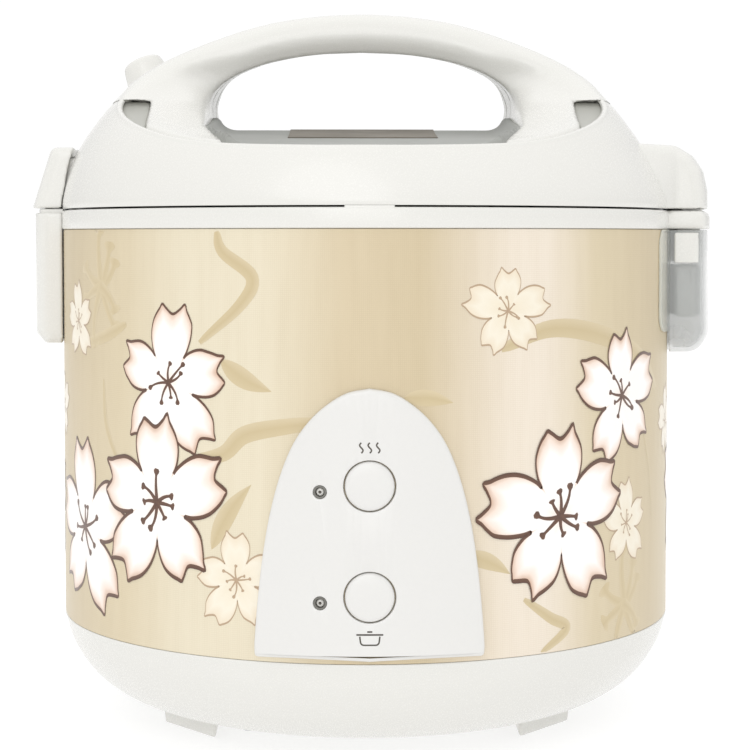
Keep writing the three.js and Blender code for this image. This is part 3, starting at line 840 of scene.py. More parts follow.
def make_dew_cup():
    inner = Outline(round_corners([(112, 155.2), (140.6, 155.2), (144.4, 161), (143.7, 220), (112, 220)],
                                  [0, 7, 8, 1, 0], 5, closed=True))

    def field(x, y, z):
        r = np.hypot(x, y)
        shell = cup_skin(x, y, z)
        core = smax(inner(bowed(x, y), z), np.abs(y) - (SIDE_HALF - 2.7), 5.0)
        core = np.maximum(core, (RING_R + 2.0) - r)
        cup = smax(smax(shell, -core, 0.6), z - 204.3, 0.6)
        return np.maximum(cup, (RING_R + 0.3) - r)

    def pads(x, y, z):
        d = smax(np.abs(cup_skin(x, y, z) + 0.1) - 0.35, np.maximum(z - 203.2, 190.6 - z), 0.4)
        side = np.maximum(bowed(x, y) - 143.6, RING_R + 2.4 - np.hypot(x, y))
        return np.maximum(smax(d, side, 0.4), 22 - np.abs(y))

    white(surface("dew_cup_grips", pads, (126, -34, 188), (149, 34, 206), 0.6), "dew_collector")
    cup = surface("dew_cup", field, (118, -34, 151), (149, 34, 206), 0.7)
    finish_piece(cup, "dew_collector", CLEAR, ["dew_collector"])


def make_cup_liner():
    def liner(x, y, z):
        d = slab(x, y, 142.6, SIDE_HALF - 5, 3.0)
        d = smax(d, np.maximum(z - 189.6, 168 - z), 1.5)
        hollow = np.maximum(np.maximum(bowed(x, y) - 141.2, np.abs(y) - (SIDE_HALF - 6.4)), 169.4 - z)
        return np.maximum(smax(d, -hollow, 0.4), (RING_R + 3.4) - np.hypot(x, y))

    well = surface("dew_cup_liner", liner, (122, -30, 165), (145, 30, 192), 0.6)
    finish_piece(well, "dew_collector", LINER_GREY)


def make_cup_mounts():
    """What stays on the body when the cup is pulled: the drain collar and the clear guide behind it."""

    def drain(x, y, z):
        d = slab(x, y, 142.4, SIDE_HALF - 5.2, 3.0)
        hollow = np.maximum(bowed(x, y) - 140.6, np.abs(y) - (SIDE_HALF - 7))
        d = smax(d, np.maximum(z - 205.2, 190.8 - z), 0.8)
        return np.maximum(smax(d, -hollow, 0.5), (RING_R + 3.4) - np.hypot(x, y))

    white(surface("ring_drain_collar", drain, (122, -30, 189), (145, 30, 207), 0.7), "body")

    def guide(x, y, z):
        r = np.hypot(x, y)
        d = np.maximum(r - (SHELL_R + 1.2), (SHELL_R + 0.05) - r)
        edge = smax(np.abs(y) - 50.5, np.abs(z - 184) - 21.5, 9.0)
        d = smax(d, edge, 0.5)
        return np.maximum(np.maximum(d, z - 204.4), 60 - x)

    rail = surface("dew_cup_guide", guide, (112, -53, 160), (131, 53, 206), 0.7)
    finish_piece(rail, "body", GUIDE_CLEAR)


# ---- lid: dome wall with a scoop across the top, recessed plate, handle ----
DOME = [
    (213.0, 128.7), (217, 128.1), (222, 126.7), (228, 124.4), (234, 121.6), (240.9, 117.8), (246, 114.3),
    (251, 110.6), (256, 106.5), (261, 102.0), (265, 98.0), (270, 90.8), (275, 82.0), (280, 71.2),
    (284.5, 59.6), (288.4, 48.0), (291.4, 36.0), (293.6, 22.0), (294.9, 8.0), (295.0, 0.0),
]
RAMP = [
    (120, 235.2), (112, 236.0), (105, 237.0), (93, 239.6), (81, 243.0), (67, 247.0), (52, 251.6), (39, 256.4),
    (32, 261.6), (28, 267.0), (25, 274.0), (23, 282.0), (21.6, 290.0), (21, 300.0),
]
PLATE = [(0, 242.6), (60, 239.8), (90, 236.8), (112, 234.2), (117.2, 233.4)]
CREST = [(0, 246.6), (12, 246.2), (30, 243.7), (55, 240.8), (80, 238.4), (105, 236.2), (122, 235.0)]
WALL_T = 2.6
CROWN_Z = 256.8
FOOT_X = 85.5
OPENING = [
    (0, 278.4), (20, 277.4), (37, 274.4), (47.5, 271.0), (54.8, 267.4), (60.0, 263.4), (62.6, 258.6),
    (62.8, 253.4),
]
DOME_Z, DOME_R = (np.array(c) for c in zip(*spline(DOME, 8)))
RAMP_Y, RAMP_Z = (np.array(c) for c in zip(*spline(RAMP, 8)))


def scoop_outline():
    return Outline([*zip(RAMP_Y, RAMP_Z), (-30, 300), (-30, 225), (126, 225)], 0.4, 24)


def dome_radius(z):
    return np.interp(z, DOME_Z, DOME_R)


def plate_height(r):
    rr, zz = zip(*PLATE)
    return np.interp(r, rr, zz)


def lid_shift(z):
    return LID_SHIFT * smoothstep(z, 214, 240)


def rim_height(angle):
    """Where the scoop's edge meets the dome on the meridian at this angle."""
    lo, hi = 230.0, CROWN_Z + 1.4
    for _ in range(30):
        mid = (lo + hi) / 2
        y = abs(dome_radius(mid) * math.sin(angle))
        if mid < np.interp(-y, -RAMP_Y, RAMP_Z):
            lo = mid
        else:
            hi = mid
    return lo


def make_lid_wall():
    """The dome from the seam up to the scoop's edge, as a thin shell with a rounded rim."""
    segments, rows, rim_rows = 360, 26, 6
    verts, faces = [], []
    for k in range(segments):
        a = 2 * math.pi * k / segments
        top = rim_height(a)
        rim = 1.1
        zs = LID_Z + (top - rim - LID_Z) * np.linspace(0, 1, rows)
        column = [(dome_radius(z) - (0.5 if i == 0 else 0.12 if i == 1 else 0), z) for i, z in enumerate(zs)]
        edge = dome_radius(top - rim)
        for t in np.linspace(0, math.pi, rim_rows + 2)[1:-1]:
            half = WALL_T / 2
            column.append((edge - half + half * math.cos(t), top - rim + rim * math.sin(t)))
        column += [(dome_radius(z) - WALL_T, z) for z in zs[::-1]]
        column = [(r - 0.35 * float(smoothstep(z, CROWN_Z - 0.4, CROWN_Z)), z) for r, z in column]
        for r, z in column:
            verts.append((r * math.cos(a) + float(lid_shift(z)), r * math.sin(a), z))
        n = len(column)
    for k in range(segments):
        m = (k + 1) % segments
        for i in range(n):
            j = (i + 1) % n
            faces.append([k * n + i, m * n + i, m * n + j, k * n + j])
    obj = new_object("lid_wall", verts, faces)
    smooth_by_angle(obj, 38)
    white(obj, "lid", "lid_outer")


def make_lid_plate():
    top = spline(PLATE, 5)
    under = [(r, z - 2.2) for r, z in PLATE[::-1]]
    obj = lathe("lid_top_plate", [*top, *under], 160)
    obj.data.transform(Matrix.Translation((LID_SHIFT * MM, 0, 0)))
    white(obj, "lid")


def crest_height(y):
    yy, zz = zip(*spline(CREST, 6))
    return np.interp(np.abs(y), yy, zz)


def foot_wall(y):
    """Half the width between the handle's feet."""
    return 61.6 - smoothstep(np.abs(y), 66, 106) * 9.0


def make_insert():
    """Tray between the handle's feet, turned up along them, and the fill of the end pockets; both are grey as
    painted shade, for the shade under the handle and deep in the pockets.
    """

    def tray(x, y, z):
        xs = x - LID_SHIFT
        wall = foot_wall(y) - 0.05
        lean = np.clip(np.abs(xs) - (wall - 9), 0, 9)
        top = crest_height(y) + np.minimum(9 - np.sqrt(81 - lean * lean), 5.2)
        d = np.maximum(z - top, crest_height(y) - 2.4 - z)
        rho = np.hypot(xs, y)
        d = smax(d, rho - (dome_radius(z) - WALL_T - 0.25), 0.5)
        under_foot = scoop(np.abs(y), z) + 1.3 - 3 * np.maximum(wall - np.abs(xs), 0)
        return np.maximum(smax(d, np.abs(xs) - wall - 6, 0.6), under_foot)

    scoop = scoop_outline()
    obj = surface("lid_insert", tray, (-72, -120, 230), (68, 120, 256), 1.3)
    # the tray's grey is painted shade, standing for the shade the handle casts on it
    finish_piece(obj, "lid", PLATE_SHADE_GREY)

    def pocket(x, y, z):
        xs = x - LID_SHIFT
        d = np.maximum(scoop(np.abs(y), z) + 2.6, np.hypot(xs, y) - (dome_radius(z) - WALL_T - 0.2))
        d = np.maximum(d, z - (CROWN_Z - 0.2))
        d = np.maximum(d, FOOT_X + (z - 248) * 0.12 + 0.4 - np.abs(xs))
        d = np.maximum(d, np.maximum(238 - z, 33 - np.abs(y)))
        return np.maximum(d, -vent_distance(x, y, z, 8.5))

    for side, lo, hi in (("left", -118, -84), ("right", 80, 114)):
        obj = surface(f"pocket_fill_{side}", pocket, (lo, -80, 236), (hi, 80, 259), 0.9)
        # the pocket fill's grey is painted shade, standing for the shade deep in the pockets at the handle's
        # ends
        finish_piece(obj, "lid", POCKET_SHADE_GREY)


def polygon_from(half):
    return half + [(-x, z) for x, z in half[::-1] if x > 0]


def make_handle():
    dome = Outline([(r, z) for z, r in spline(DOME, 8)] + [(0, 225), (128.7, 225)], 0.4)
    scoop = scoop_outline()
    arch = spline(OPENING, 6)
    hard = Outline(polygon_from(arch[:-1] + [(62.4, 250), (61.4, 222), (0, 222)]), 0.4, 22)

    def opening(x, y, z):
        ay = np.abs(y)
        raised = z - 0.1 * np.clip(y + 16, 0, 40) * smoothstep(z, 258, 272)
        cut = hard(x, raised) + (61.6 - foot_wall(y)) * (1 - smoothstep(z, 250, 258))
        depth = 5.0 + 6.0 * smoothstep(np.abs(x), 48, 72)
        bevel = np.clip(depth + 0.6 + scoop(ay, z), 0, depth)
        return cut - bevel * smoothstep(z, 256, 270)

    def common(x, y, z):
        xs = x - lid_shift(z)
        ay = np.abs(y)
        flat = 1 - 0.55 * smoothstep(z, 262, 276)
        shell = dome(np.hypot(xs, ay * flat), z)
        inside = 1 - smoothstep(z, CROWN_Z - 0.05, CROWN_Z + 0.05)
        shell = shell + inside * (WALL_T + 0.35)
        front = scoop(ay, z)
        soft_edge = 0.8 + 8.5 * smoothstep(z, 255, 270)
        d = smax(shell, front, soft_edge)
        outer = np.where(z < CROWN_Z, np.abs(xs) - FOOT_X - (z - 248) * 0.12, -50)
        d = smax(d, outer, 1.4)
        return np.maximum(d, plate_height(np.hypot(xs, y)) + 0.15 - z), xs

    def field(x, y, z):
        d, xs = common(x, y, z)
        cut = opening(xs, y, z)
        soft_corner = 1.6 + 9 * smoothstep(z, 246, 256) - 7.4 * smoothstep(z, 266, 278)
        d = smax(d, -cut, soft_corner)
        band = np.maximum(np.maximum(cut - 2.4, np.abs(y) - 10.4), 249.2 - z)
        d = np.maximum(d, -band)
        seat = vent_distance(x, y, z, 11.8)
        return smax(d, -seat, 0.8)

    white(surface("handle_shell", field, (-126, -122, 233), (124, 122, 297), 1.5), "lid", "handle")

    def strip(x, y, z):
        d, xs = common(x, y, z)
        cut = opening(xs, y, z)
        d = np.maximum(-cut, cut - 2.15)
        return smax(np.maximum(d, 249.5 - z), np.abs(y) - 10.1, 0.8)

    white(surface("handle_strip", strip, (-70, -13, 246), (67, 13, 285), 0.8), "lid", "handle_underside")


def make_label():
    """Blank adhesive label on the plate, following its curve."""
    verts, faces = [], []
    nx, ny = 30, 22
    for lift in (0.12, 0.42):
        for j in range(ny + 1):
            for i in range(nx + 1):
                x = LID_SHIFT - 30 + 60 * i / nx
                y = -55 + 44 * j / ny
                verts.append((x, y, float(crest_height(y)) + lift))
    base = (nx + 1) * (ny + 1)
    for j in range(ny):
        for i in range(nx):
            a = j * (nx + 1) + i
            faces.append([a, a + 1, a + nx + 2, a + nx + 1])
            faces.append([base + a, base + a + 1, base + a + nx + 2, base + a + nx + 1][::-1])
    rim = [i for i in range(nx)] + [nx + j * (nx + 1) for j in range(ny)]
    rim += [ny * (nx + 1) + i for i in range(nx, 0, -1)] + [j * (nx + 1) for j in range(ny, 0, -1)]
    for a, b in zip(rim, rim[1:] + rim[:1]):
        faces.append([a, b, base + b, base + a])
    obj = new_object("blank_label", verts, faces, False)
    recalc(obj)
    finish_piece(obj, "lid", LABEL, ["lid_label"])


# ---- steam vent ----
def vent_distance(x, y, z, r):
    """Distance to a cylinder of radius r on the vent's axis, above the lid's plate."""
    at, axis = np.array(VENT_AT), np.array(VENT_AXIS)
    p = np.stack([x - at[0], y - at[1], z - at[2]], -1)
    t = p @ axis
    off = np.sqrt(np.maximum((p * p).sum(-1) - t * t, 0))
    return np.maximum(off - r, 4.2 - t)


def make_vent():
    turn = VENT_AXIS.to_track_quat("Z", "Y").to_matrix().to_4x4()
    place = Matrix.Translation(VENT_AT * MM) @ turn
    profile = round_corners(
        [(2.2, 12.6), (2.2, 18.4), (8.4, 18.2), (9.4, 13.4), (10.7, 4.6), (9.2, 4.6), (8.0, 12.6)],
        [0.4, 0.6, 3.0, 2.5, 0.5, 0.4, 1.5], 6, closed=True)
    cap = lathe("vent_cap", profile, 96)
    cap.data.transform(place)
    white(cap, "steam_vent_cap", "steam_vent_cap")
    profile = round_corners([(5.4, -19), (7, -19), (7, 10.4), (5.4, 10.4)], 0.4, 3, closed=True)
    tube = lathe("vent_tube", profile, 64)
    tube.data.transform(place)
    white(tube, "lid", "steam_vent_tube")


# Grey of the tray under the handle: painted shade, darker than the plastic is, for the shade the handle
# casts.
PLATE_SHADE_GREY = varied("lid_plate_painted_shade", (166, 167, 163), (156, 157, 152), 0.5, bump_scale=1400,
                    bump_strength=0.15, Specular_IOR_Level=0.15)
# Grey of the pocket fill: painted shade for the shade in the pockets beside the handle's feet.
POCKET_SHADE_GREY = varied("lid_pocket_painted_shade", (184, 184, 177), (176, 176, 169), 0.4, bump_scale=1400, bump_strength=0.1)
make_base()
make_feet()
make_panel()
make_buttons()
make_ring()
make_ring_tab()
make_catch_cover()
make_lever()
make_latch_seats()
make_hinge_cover()
make_dew_cup()
make_cup_liner()
make_cup_mounts()
make_lid_wall()
make_lid_plate()
make_insert()
make_handle()
make_label()
make_vent()


# ---- printed blossoms: thin decals bent round the shell ----
INK_DRIFT = 0.05
PETAL_SIDE = [
    (36.0, 0.42), (34.5, 0.50), (32.5, 0.57), (29.5, 0.66), (26, 0.745), (22, 0.82), (17.5, 0.885),
    (13.5, 0.94), (10.5, 1.0), (7.5, 0.945), (3.5, 0.885), (1.0, 0.865),
]


class Layer:
    """Collects flat faces in (arc, height) and bends them round the shell as one mesh."""

    def __init__(self):
        self.verts, self.faces, self.uvs = [], [], []

    def point(self, s, z, lift, uv=(0.0, 0.0)):
        z = min(max(z, SHELL_Z[0] + 0.6), SHELL_Z[1] - 0.6)
        self.verts.append(on_shell(s, z, lift))
        self.uvs.append(uv)
        return len(self.verts) - 1

    def ribbon(self, points, widths, lift):
        rows = []
        for i, (p, w) in enumerate(zip(points, widths)):
            a, b = points[max(i - 1, 0)], points[min(i + 1, len(points) - 1)]
            t = Vector((b[0] - a[0], b[1] - a[1])).normalized()
            across = (-0.5, -0.25, 0, 0.25, 0.5) if max(widths) > 2.4 else (-0.5, 0.5)
            rows.append([self.point(p[0] - t.y * w * k, p[1] + t.x * w * k, lift, (k + 0.5, i / len(points)))
                         for k in across])
        for a, b in zip(rows, rows[1:]):
            self.faces += [[a[k], b[k], b[k + 1], a[k + 1]] for k in range(len(a) - 1)]

    def build(self, name, material, slot="printed_shell"):
        faces = []
        for f in self.faces:
            p = [Vector(self.verts[i]) for i in f]
            n = (p[1] - p[0]).cross(p[2] - p[0])
            faces.append(f if n.dot(Vector((p[0].x, p[0].y, 0))) > 0 else f[::-1])
        obj = new_object(name, self.verts, faces)
        layer = obj.data.uv_layers.new(name="UVMap")
        for loop in obj.data.loops:
            layer.data[loop.index].uv = self.uvs[loop.vertex_index]
        finish_piece(obj, "body", material)


def blossom_edge(radius, turn, seed):
    """Points of a five-petal blossom round its centre; each petal differs a little."""
    edge = []
    for k in range(5):
        grow = 1 + 0.07 * math.sin(2.3 * k + seed)
        lean = 4.0 * math.sin(1.7 * k + 2 * seed)
        side = [(-a, r) for a, r in PETAL_SIDE] + PETAL_SIDE[::-1]
        for a, r in side[:-1]:
            blend = min(1, (36 - abs(a)) / 14)
            tooth = 0.035 * math.sin(5 * seed + k) * (1 if a > 0 else -1) * max(0, 1 - abs(abs(a) - 10.5) / 4)
            ang = math.radians(90 + turn + 72 * k + a + lean * blend)
            rad = radius * (r * (1 + (grow - 1) * blend) + tooth)
            edge.append((rad * math.cos(ang), rad * math.sin(ang)))
    return edge


def rounded_edge(edge):
    """Closed curve through the points, dense enough to look drawn."""
    loop = edge[-2:] + edge + edge[:3]
    dense = spline(loop, 4)
    return dense[8:8 + 4 * len(edge)]


def add_blossom(fill, line, s, z, radius, turn, seed, lift, weight):
    edge = rounded_edge(blossom_edge(radius, turn, seed))
    n = len(edge)
    rings = (0.12, 0.24, 0.36, 0.48, 0.6, 0.7, 0.8, 0.88, 0.94, 1.0)
    rows = []
    for u in rings:
        rows.append([fill.point(s + x * u, z + y * u, lift, (u, i / n)) for i, (x, y) in enumerate(edge)])
    centre = fill.point(s, z, lift + 0.002)
    for i in range(n):
        j = (i + 1) % n
        fill.faces.append([centre, rows[0][i], rows[0][j]])
        fill.faces += [[a[i], b[i], b[j], a[j]] for a, b in zip(rows, rows[1:])]
    widths = []
    for i in range(n):
        a, b = edge[i - 1], edge[(i + 1) % n]
        t = Vector((b[0] - a[0], b[1] - a[1])).normalized()
        widths.append(weight * (0.34 + 0.62 * abs(t.x) ** 1.5))
    loop = [(s + x, z + y) for x, y in edge]
    line.ribbon(loop + loop[:1], widths + widths[:1], lift + 0.012)
    add_stamens(line, s, z, radius * 0.37, turn + 12 * math.sin(seed), seed, lift + 0.02, weight * 0.95)


def add_stamens(line, s, z, reach, turn, seed, lift, width):
    for k in range(8):
        ang = math.radians(turn + 45 * k + 9 * math.sin(seed + 2.1 * k))
        far = reach * (0.82 + 0.22 * math.sin(seed * 3 + 1.9 * k))
        curl = 0.16 * math.sin(seed + 1.3 * k)
        points, widths = [], []
        for i in range(17):
            t = i / 16
            r, a = far * t, ang + curl * t * t * 2
            points.append((s + r * math.cos(a), z + r * math.sin(a)))
            head = max(0, 1 - abs(t - 0.92) / 0.12)
            widths.append(width * (1.1 - 0.55 * t + 1.5 * head))
        line.ribbon(points, widths, lift + 0.002 * k)


def add_leaf(layer, start, end, width, bend, lift):
    a, b = Vector(start), Vector(end)
    side = Vector((-(b - a).y, (b - a).x)).normalized()
    points = [tuple(a.lerp(b, i / 16) + side * bend * math.sin(math.pi * i / 16)) for i in range(17)]
    widths = [max(0.15, width * math.sin(math.pi * (i / 16) ** 0.8) ** 0.9) for i in range(17)]
    layer.ribbon(points, widths, lift)


def add_branch(layer, points, width, lift):
    path = spline(points, 8)
    n = len(path)
    widths = [width * (0.35 + 0.65 * math.sin(math.pi * i / (n - 1)) ** 0.6) for i in range(n)]
    layer.ribbon(path, widths, lift)


# Arc from the front centre line, height, radius, turn and line width, furthest back first.
STRONG = [(-137.4, 86.1, 34.5, 2, 1.5), (-80.6, 146.6, 28.3, -2, 1.15), (-86.6, 100.8, 33.8, 0, 1.7),
          (112.4, 139.8, 27.4, 3, 1.25), (76.6, 96.0, 34.6, 2, 1.8)]
FAINT = [(-144.0, 168.0, 15, 4, 0.6), (-50.6, 74.2, 18, 3, 0.75), (52.8, 174.0, 17.2, 2, 0.7),
         (116.5, 89.6, 16.4, 0, 0.6)]
SIDE_STRONG = [(-203, 92, 31, -4, 1.5), (196, 98, 31, 5, 1.5)]
SIDE_FAINT = [(-176, 132, 15, 5, 0.6), (-236, 130, 16, -3, 0.6), (166, 126, 15, 4, 0.6),
              (232, 62, 14, -6, 0.6)]


# Width, lift and the points of each branch.
BRANCHES = [
    (6.6, 0.028, (-70, 118), (-56, 121), (-47, 128.4), (-30, 132), (-12, 134)),
    (5.2, 0.03, (-58.5, 203.4), (-56, 196), (-44, 186.5), (-49, 176), (-66, 162)),
    (2.6, 0.032, (-120, 146), (-118, 128), (-108, 112)),
    (5.0, 0.034, (-140, 158), (-118, 163), (-104, 168)),
    (7.6, 0.03, (50, 160), (72, 167), (98, 164), (128, 154), (146, 140)),
    (4.4, 0.03, (60, 66), (72, 58), (80, 53), (68, 45)),
    (1.6, 0.036, (128, 132), (138, 108), (141, 88)),
]


def print_group(layers, base, flip):
    """One half of the print, turned round the body to an arc and mirrored if flip is -1."""
    motif, faint, faint_line, fill, line = layers

    def at(s):
        return base + flip * s

    for k, (s, z, r, turn, w) in enumerate(STRONG):
        add_blossom(fill, line, at(s), z, r, turn * flip, k * 1.37 + 0.6, 0.12 + 0.05 * k, w)
    for k, (s, z, r, turn, w) in enumerate(FAINT):
        add_blossom(faint, faint_line, at(s), z, r, turn * flip, k * 2.1 + 0.9, 0.06 + 0.004 * k, w)
    for s, z, reach in ((-121.5, 182, 24), (115.5, 57.5, 24)):
        add_stamens(motif, at(s), z, reach, 20, 1.4, 0.02, 4.4)
    add_leaf(motif, (at(-57), 156), (at(-36.5), 144.6), 7.4, -1.4 * flip, 0.022)
    add_leaf(motif, (at(-61), 85), (at(-44.5), 110), 7.2, 1.8 * flip, 0.024)
    add_leaf(motif, (at(12.5), 142.6), (at(31), 140.6), 6.2, 0.8, 0.026)
    add_leaf(motif, (at(34), 84), (at(54), 76), 6.4, 1.5, 0.026)
    for width, lift, *points in BRANCHES:
        add_branch(motif, [(at(s), z) for s, z in points], width, lift)


def make_print():
    layers = [Layer() for _ in range(5)]
    half_turn = math.pi * SHELL_R
    print_group(layers, 0, 1)
    print_group(layers, half_turn, -1)
    for k, (s, z, r, turn, w) in enumerate(SIDE_STRONG):
        add_blossom(layers[3], layers[4], s, z, r, turn, 3.3 + k, 0.09, w)
    for k, (s, z, r, turn, w) in enumerate(SIDE_FAINT):
        add_blossom(layers[1], layers[2], s, z, r, turn, 4.1 + k, 0.05, w)
    for layer, name, mat in zip(layers, ("print_branches", "print_faint_blossoms", "print_faint_lines",
                                         "print_blossoms", "print_lines"), PRINT_MATERIALS):
        layer.build(name, mat)


def printed(name, stops):
    """Ink on the lacquered sheet: colour by distance from the blossom's centre, mottled a little."""
    mat, tree, shader = nodes_of(name)
    across = add_node(tree, "SeparateXYZ", {"Vector": add_node(tree, "UVMap").outputs["UV"]}).outputs["X"]
    drift = {"To Min": -INK_DRIFT, "To Max": INK_DRIFT, "Value": noise(tree, 120, 3)}
    wobble = add_node(tree, "MapRange", drift).outputs["Result"]
    add = add_node(tree, "Math", {0: across, 1: wobble}, operation="ADD")
    tint(tree, shader, add.outputs[0], stops)
    set_sockets(shader, Roughness=0.34, Coat_Weight=0.35, Coat_Roughness=0.12)
    bump(tree, shader, noise(tree, 1500, 2), 0.06)
    return mat


PRINT_MATERIALS = [
    printed("print_tan", [(0.0, (206, 189, 152)), (0.5, (199, 181, 142)), (1.0, (210, 194, 160))]),
    printed("print_faint", [(0.0, (232, 220, 196)), (0.7, (238, 230, 212)), (1.0, (230, 216, 192))]),
    printed("print_faint_line", [(0.0, (176, 150, 122)), (1.0, (188, 164, 136))]),
    printed("print_petal", [(0.0, (246, 228, 216)), (0.24, (250, 246, 242)), (0.74, (250, 247, 244)),
                            (0.9, (240, 222, 208)), (1.0, (206, 172, 148))]),
    printed("print_brown", [(0.0, (84, 54, 38)), (1.0, (104, 70, 50))]),
]
make_print()


def make_icons():
    """Small generic signs on the panel: steam over the upper button, a pot under the lower one."""
    layer = Layer()
    lift = PANEL_R[1] - SHELL_R + 0.04
    for k in (-1, 0, 1):
        steam = [(3.0 * k + 0.6 * math.sin(math.pi * i / 6), 122.8 + 3.8 * i / 12) for i in range(13)]
        layer.ribbon(steam, [0.55] * 13, lift)
    bowl = round_corners([(-3.6, 55.6), (-3.2, 52.4), (3.2, 52.4), (3.6, 55.6)], 1.4, 6)
    layer.ribbon(bowl, [0.55] * len(bowl), lift)
    for half, z in ((4.8, 56.2), (0.9, 57.3)):
        layer.ribbon([(-half, z), (0, z), (half, z)], [0.6] * 3, lift + 0.01)
    layer.build("panel_icons", ICON, "dark_plastic")


make_icons()


# ---- inside: pot, inner lid, inlet, and finishes for the parts left as modelled ----
def make_pot():
    inside = round_corners([(0, 70.9), (87.6, 70.9), (98.3, 75.1), (101.9, 85.7), (101.9, 205.2),
                            (102.6, 206.7), (112.6, 206.7)], [0, 8, 6, 8, 1.0, 1.0, 0], 6)
    outside = round_corners([(112.6, 206.7), (113.2, 206.1), (112.6, 205.5), (103.5, 205.5), (103.5, 85.3),
                             (99.5, 73.9), (88, 69.3), (0, 69.3)], [0, 0.3, 0.3, 1.2, 8, 6, 8, 0], 6)
    obj = lathe("pot", outside[::-1] + inside[::-1][1:], 224)
    recalc(obj)
    finish_piece(obj, "body", NONSTICK, ["inner_pot"])
    obj.data.materials.append(POT_OUT)
    for poly in obj.data.polygons:
        c = poly.center / MM
        r = math.hypot(c.x, c.y)
        outer_side = r > 102.8 and c.z < 205.6
        poly.material_index = 1 if outer_side or (poly.normal.z < -0.2 and c.z < 200) else 0
    layer = []
    faces = []
    for k in range(9):
        z, reach = 100 + 10 * k, 9 if k % 2 == 0 else 5.5
        for side in (1, -1):
            start = len(layer)
            for i in range(9):
                a = math.radians(90 * side) + (i / 8 - 0.5) * reach / 50
                for dz, r in ((-0.45, 101.86), (0, 101.5), (0.45, 101.86)):
                    layer.append((r * math.cos(a), r * math.sin(a), z + dz))
            for i in range(8):
                for j in range(2):
                    a = start + 3 * i + j
                    faces.append([a, a + 1, a + 4, a + 3])
    marks = new_object("pot_level_ribs", layer, faces)
    finish_piece(marks, "body", POT_OUT)


def turned(name, points, radii, steps, segments, closed=True):
    """A lathe with rounded corners and its normals made to face outwards."""
    obj = lathe(name, round_corners(points, radii, steps, closed=closed), segments)
    recalc(obj)
    return obj


def make_inner_lid():
    ring = turned("inner_lid_ring", [(99, 212.4), (125.6, 213.4), (125.6, 216.4), (119, 217.2), (99, 215.4)],
                  [0.6, 0.8, 0.8, 1.2, 0.6], 4, 192)
    white(ring, "lid", "inner_lid_frame")
    lips = [(103.4, 209.4), (106.6, 208.9), (107.6, 207.4), (111.2, 206.9), (111.4, 208.2), (110.2, 209.6),
            (110.6, 212), (103.4, 212)]
    seal = turned("lid_seal", lips, [0.5, 0.8, 0.6, 0.5, 0.4, 0.8, 0.4, 0.5], 4, 224)
    finish_piece(seal, "lid", SILICONE, ["lid_gasket"])
    under = [(3, 208.4), (22, 208.5), (38, 208.8), (41, 208.2), (44, 208.9), (70, 209.4), (73, 208.8),
             (76, 209.5), (103, 210.4)]
    over = [(r, z + 1) for r, z in under[::-1]]
    plate = turned("inner_lid_disc", under + over, 0.9, 3, 192)
    finish_piece(plate, "lid", ALUMINIUM, ["inner_lid_plate"])
    grip = [(0, 202.2), (5.8, 202.4), (7.4, 204), (7.2, 207.6), (8.2, 208.1), (2.6, 208.2), (2.6, 216),
            (0, 216)]
    knob = turned("inner_lid_grip", grip, [0, 0.9, 1.2, 0.8, 0.3, 0.3, 0.3, 0], 4, 64, closed=False)
    finish_piece(knob, "lid", SILICONE, ["inner_lid_knob"])
    for k in range(8):
        a = 2 * math.pi * k / 8
        points = [(1.6, 208.1), (2.6, 207.9), (3.4, 208.5), (3.4, 209.6), (1.6, 209.6)]
        eyelet = lathe(f"steam_eyelet_{k + 1}", round_corners(points, 0.3, 3, closed=True), 24)
        eyelet.data.transform(Matrix.Translation((math.cos(a) * 57 * MM, math.sin(a) * 57 * MM, 0.4 * MM)))
        recalc(eyelet)
        finish_piece(eyelet, "lid", ALUMINIUM)


def rounded_box(centre, half, radius):
    def field(x, y, z):
        q = [np.abs(v - c) - h + radius for v, c, h in zip((x, y, z), centre, half)]
        outside = np.sqrt(sum(np.maximum(v, 0) ** 2 for v in q))
        return outside + np.minimum(np.maximum(np.maximum(q[0], q[1]), q[2]), 0) - radius
    return field


def make_inlet():
    body = rounded_box((0, 121.7, 77), (22, 9.7, 15), 2.2)
    lip = rounded_box((0, 129.6, 77), (24.5, 1.6, 17.5), 1.4)
    room = rounded_box((0, 127, 77), (17, 9.6, 10), 2.6)

    def field(x, y, z):
        return smax(smin(body(x, y, z), lip(x, y, z), 0.6), -room(x, y, z), 0.7)

    socket = surface("inlet_housing", field, (-27, 110, 57), (27, 134, 97), 0.7)
    finish_piece(socket, "body", BLACK, ["inlet_socket"])
    for side, name in ((-1, "left"), (1, "right")):
        blade = rounded_box((8 * side, 122.7, 77), (1.2, 5.4, 2.2), 0.8)
        low, high = (8 * side - 2.4, 116, 73.5), (8 * side + 2.4, 129.4, 80.5)
        pin = surface(f"inlet_blade_{name}", blade, low, high, 0.35)
        finish_piece(pin, "body", BRASS, [f"inlet_pin_{name}"])


def make_hinge_pin():
    pin = lathe("hinge_rod", [(0, -12), (1.1, -12), (1.5, -11.6), (1.5, 11.6), (1.1, 12), (0, 12)], 32)
    turn = Matrix.Rotation(math.radians(90), 4, "X")
    pin.data.transform(Matrix.Translation((HINGE[0] * MM, 0, HINGE[1] * MM)) @ turn)
    finish_piece(pin, "body", STEEL, ["hinge_pin"])


CAD_FINISH = (
    (STEEL, "base_screw_1 base_screw_2 base_screw_3 hinge_spring sensor_spring switch_frame rocker_pin "
            "trip_lever trip_bracket trip_pin lever_pin lever_spring sensor_magnet heater_element"),
    (ALUMINIUM, "heating_plate sensor_cap sensor_housing inner_case"),
    (POT_OUT, "warmer_band"),
    (BLACK, "terminal_block micro_switch wire_supply"),
    (WHITE, "rocker"),
    (BRASS, "thermal_fuse"),
    (BOARD, "led_board"),
    (RED_WIRE, "wire_heater"),
)


def finish_cad_parts():
    for material, names in CAD_FINISH:
        for name in names.split():
            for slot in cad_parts[name].material_slots:
                slot.material = material


make_pot()
make_inner_lid()
make_inlet()
make_hinge_pin()
finish_cad_parts()


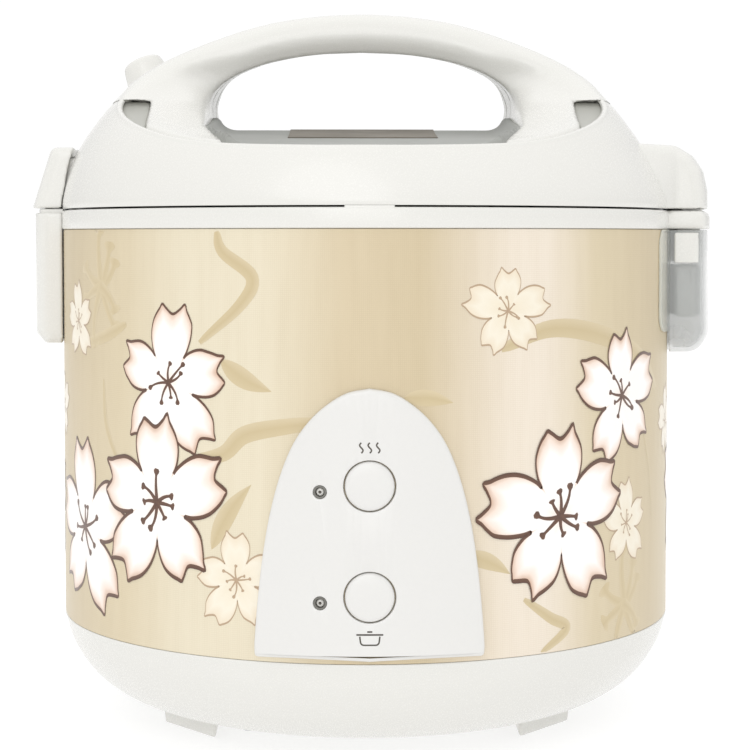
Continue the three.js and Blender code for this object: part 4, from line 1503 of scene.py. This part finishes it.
# ---- stage, lights and camera ----
def make_stage():
    bm = bmesh.new()
    bmesh.ops.create_grid(bm, x_segments=2, y_segments=2, size=30)
    mesh = bpy.data.meshes.new("floor")
    bm.to_mesh(mesh)
    bm.free()
    floor = bpy.data.objects.new("floor", mesh)
    bpy.context.scene.collection.objects.link(floor)
    mat, tree, shader = nodes_of("floor_paper")
    colour = ramp(tree, noise(tree, 3, 2), [(0.0, (0.38, 0.38, 0.38, 1)), (1.0, (0.42, 0.42, 0.42, 1))])
    tree.links.new(colour, shader.inputs["Base Color"])
    set_sockets(shader, Roughness=0.9, Specular_IOR_Level=0.0, Emission_Color=(1, 1, 1, 1),
                Emission_Strength=0.66)
    floor.data.materials.append(mat)


def soft_sun(name, towards, strength, degrees):
    data = bpy.data.lights.new(name, "SUN")
    data.energy = strength
    data.angle = math.radians(degrees)
    obj = bpy.data.objects.new(name, data)
    obj.rotation_euler = Vector(towards).to_track_quat("-Z", "Y").to_euler()
    bpy.context.scene.collection.objects.link(obj)


def make_light():
    """An even white room, paler overhead, and one very soft light from the front."""
    world = bpy.data.worlds.new("studio")
    bpy.context.scene.world = world
    world.use_nodes = True
    tree = world.node_tree
    background = tree.nodes["Background"]
    split = add_node(tree, "SeparateXYZ", {"Vector": add_node(tree, "TexCoord").outputs["Generated"]})
    height = ramp(tree, split.outputs["Z"], [(0.0, (0.6, 0.6, 0.6, 1)), (1.0, (1.32, 1.32, 1.32, 1))])
    wall = ramp(tree, split.outputs["Y"], [(0.9, (0, 0, 0, 1)), (0.95, (1, 1, 1, 1))])
    mix = add_node(tree, "Mix", {"Factor": wall, 6: height, 7: (1.02, 1.02, 1.02, 1)}, data_type="RGBA")
    tree.links.new(mix.outputs[2], background.inputs["Color"])
    soft_sun("front_light", (0.25, 1.0, -0.55), 0.45, 40)
    soft_sun("low_light", (0.05, 1.0, -0.06), 0.28, 30)


SENSOR = 36
FOCAL_WIDTHS = 1958 / 750


def make_camera():
    """Eye height, distance and tilt that give the shell's curves."""
    data = bpy.data.cameras.new("camera")
    data.sensor_width = SENSOR
    data.lens = FOCAL_WIDTHS * SENSOR
    data.shift_y = -0.0733
    cam = bpy.data.objects.new("camera", data)
    cam.location = (-0.009, -0.840, 0.2011)
    cam.rotation_euler = (math.radians(90 - 2.41), 0, math.radians(-0.88))
    bpy.context.scene.collection.objects.link(cam)
    bpy.context.scene.camera = cam


make_stage()
make_light()
make_camera()
scene = bpy.context.scene
scene.view_settings.view_transform = "Standard"
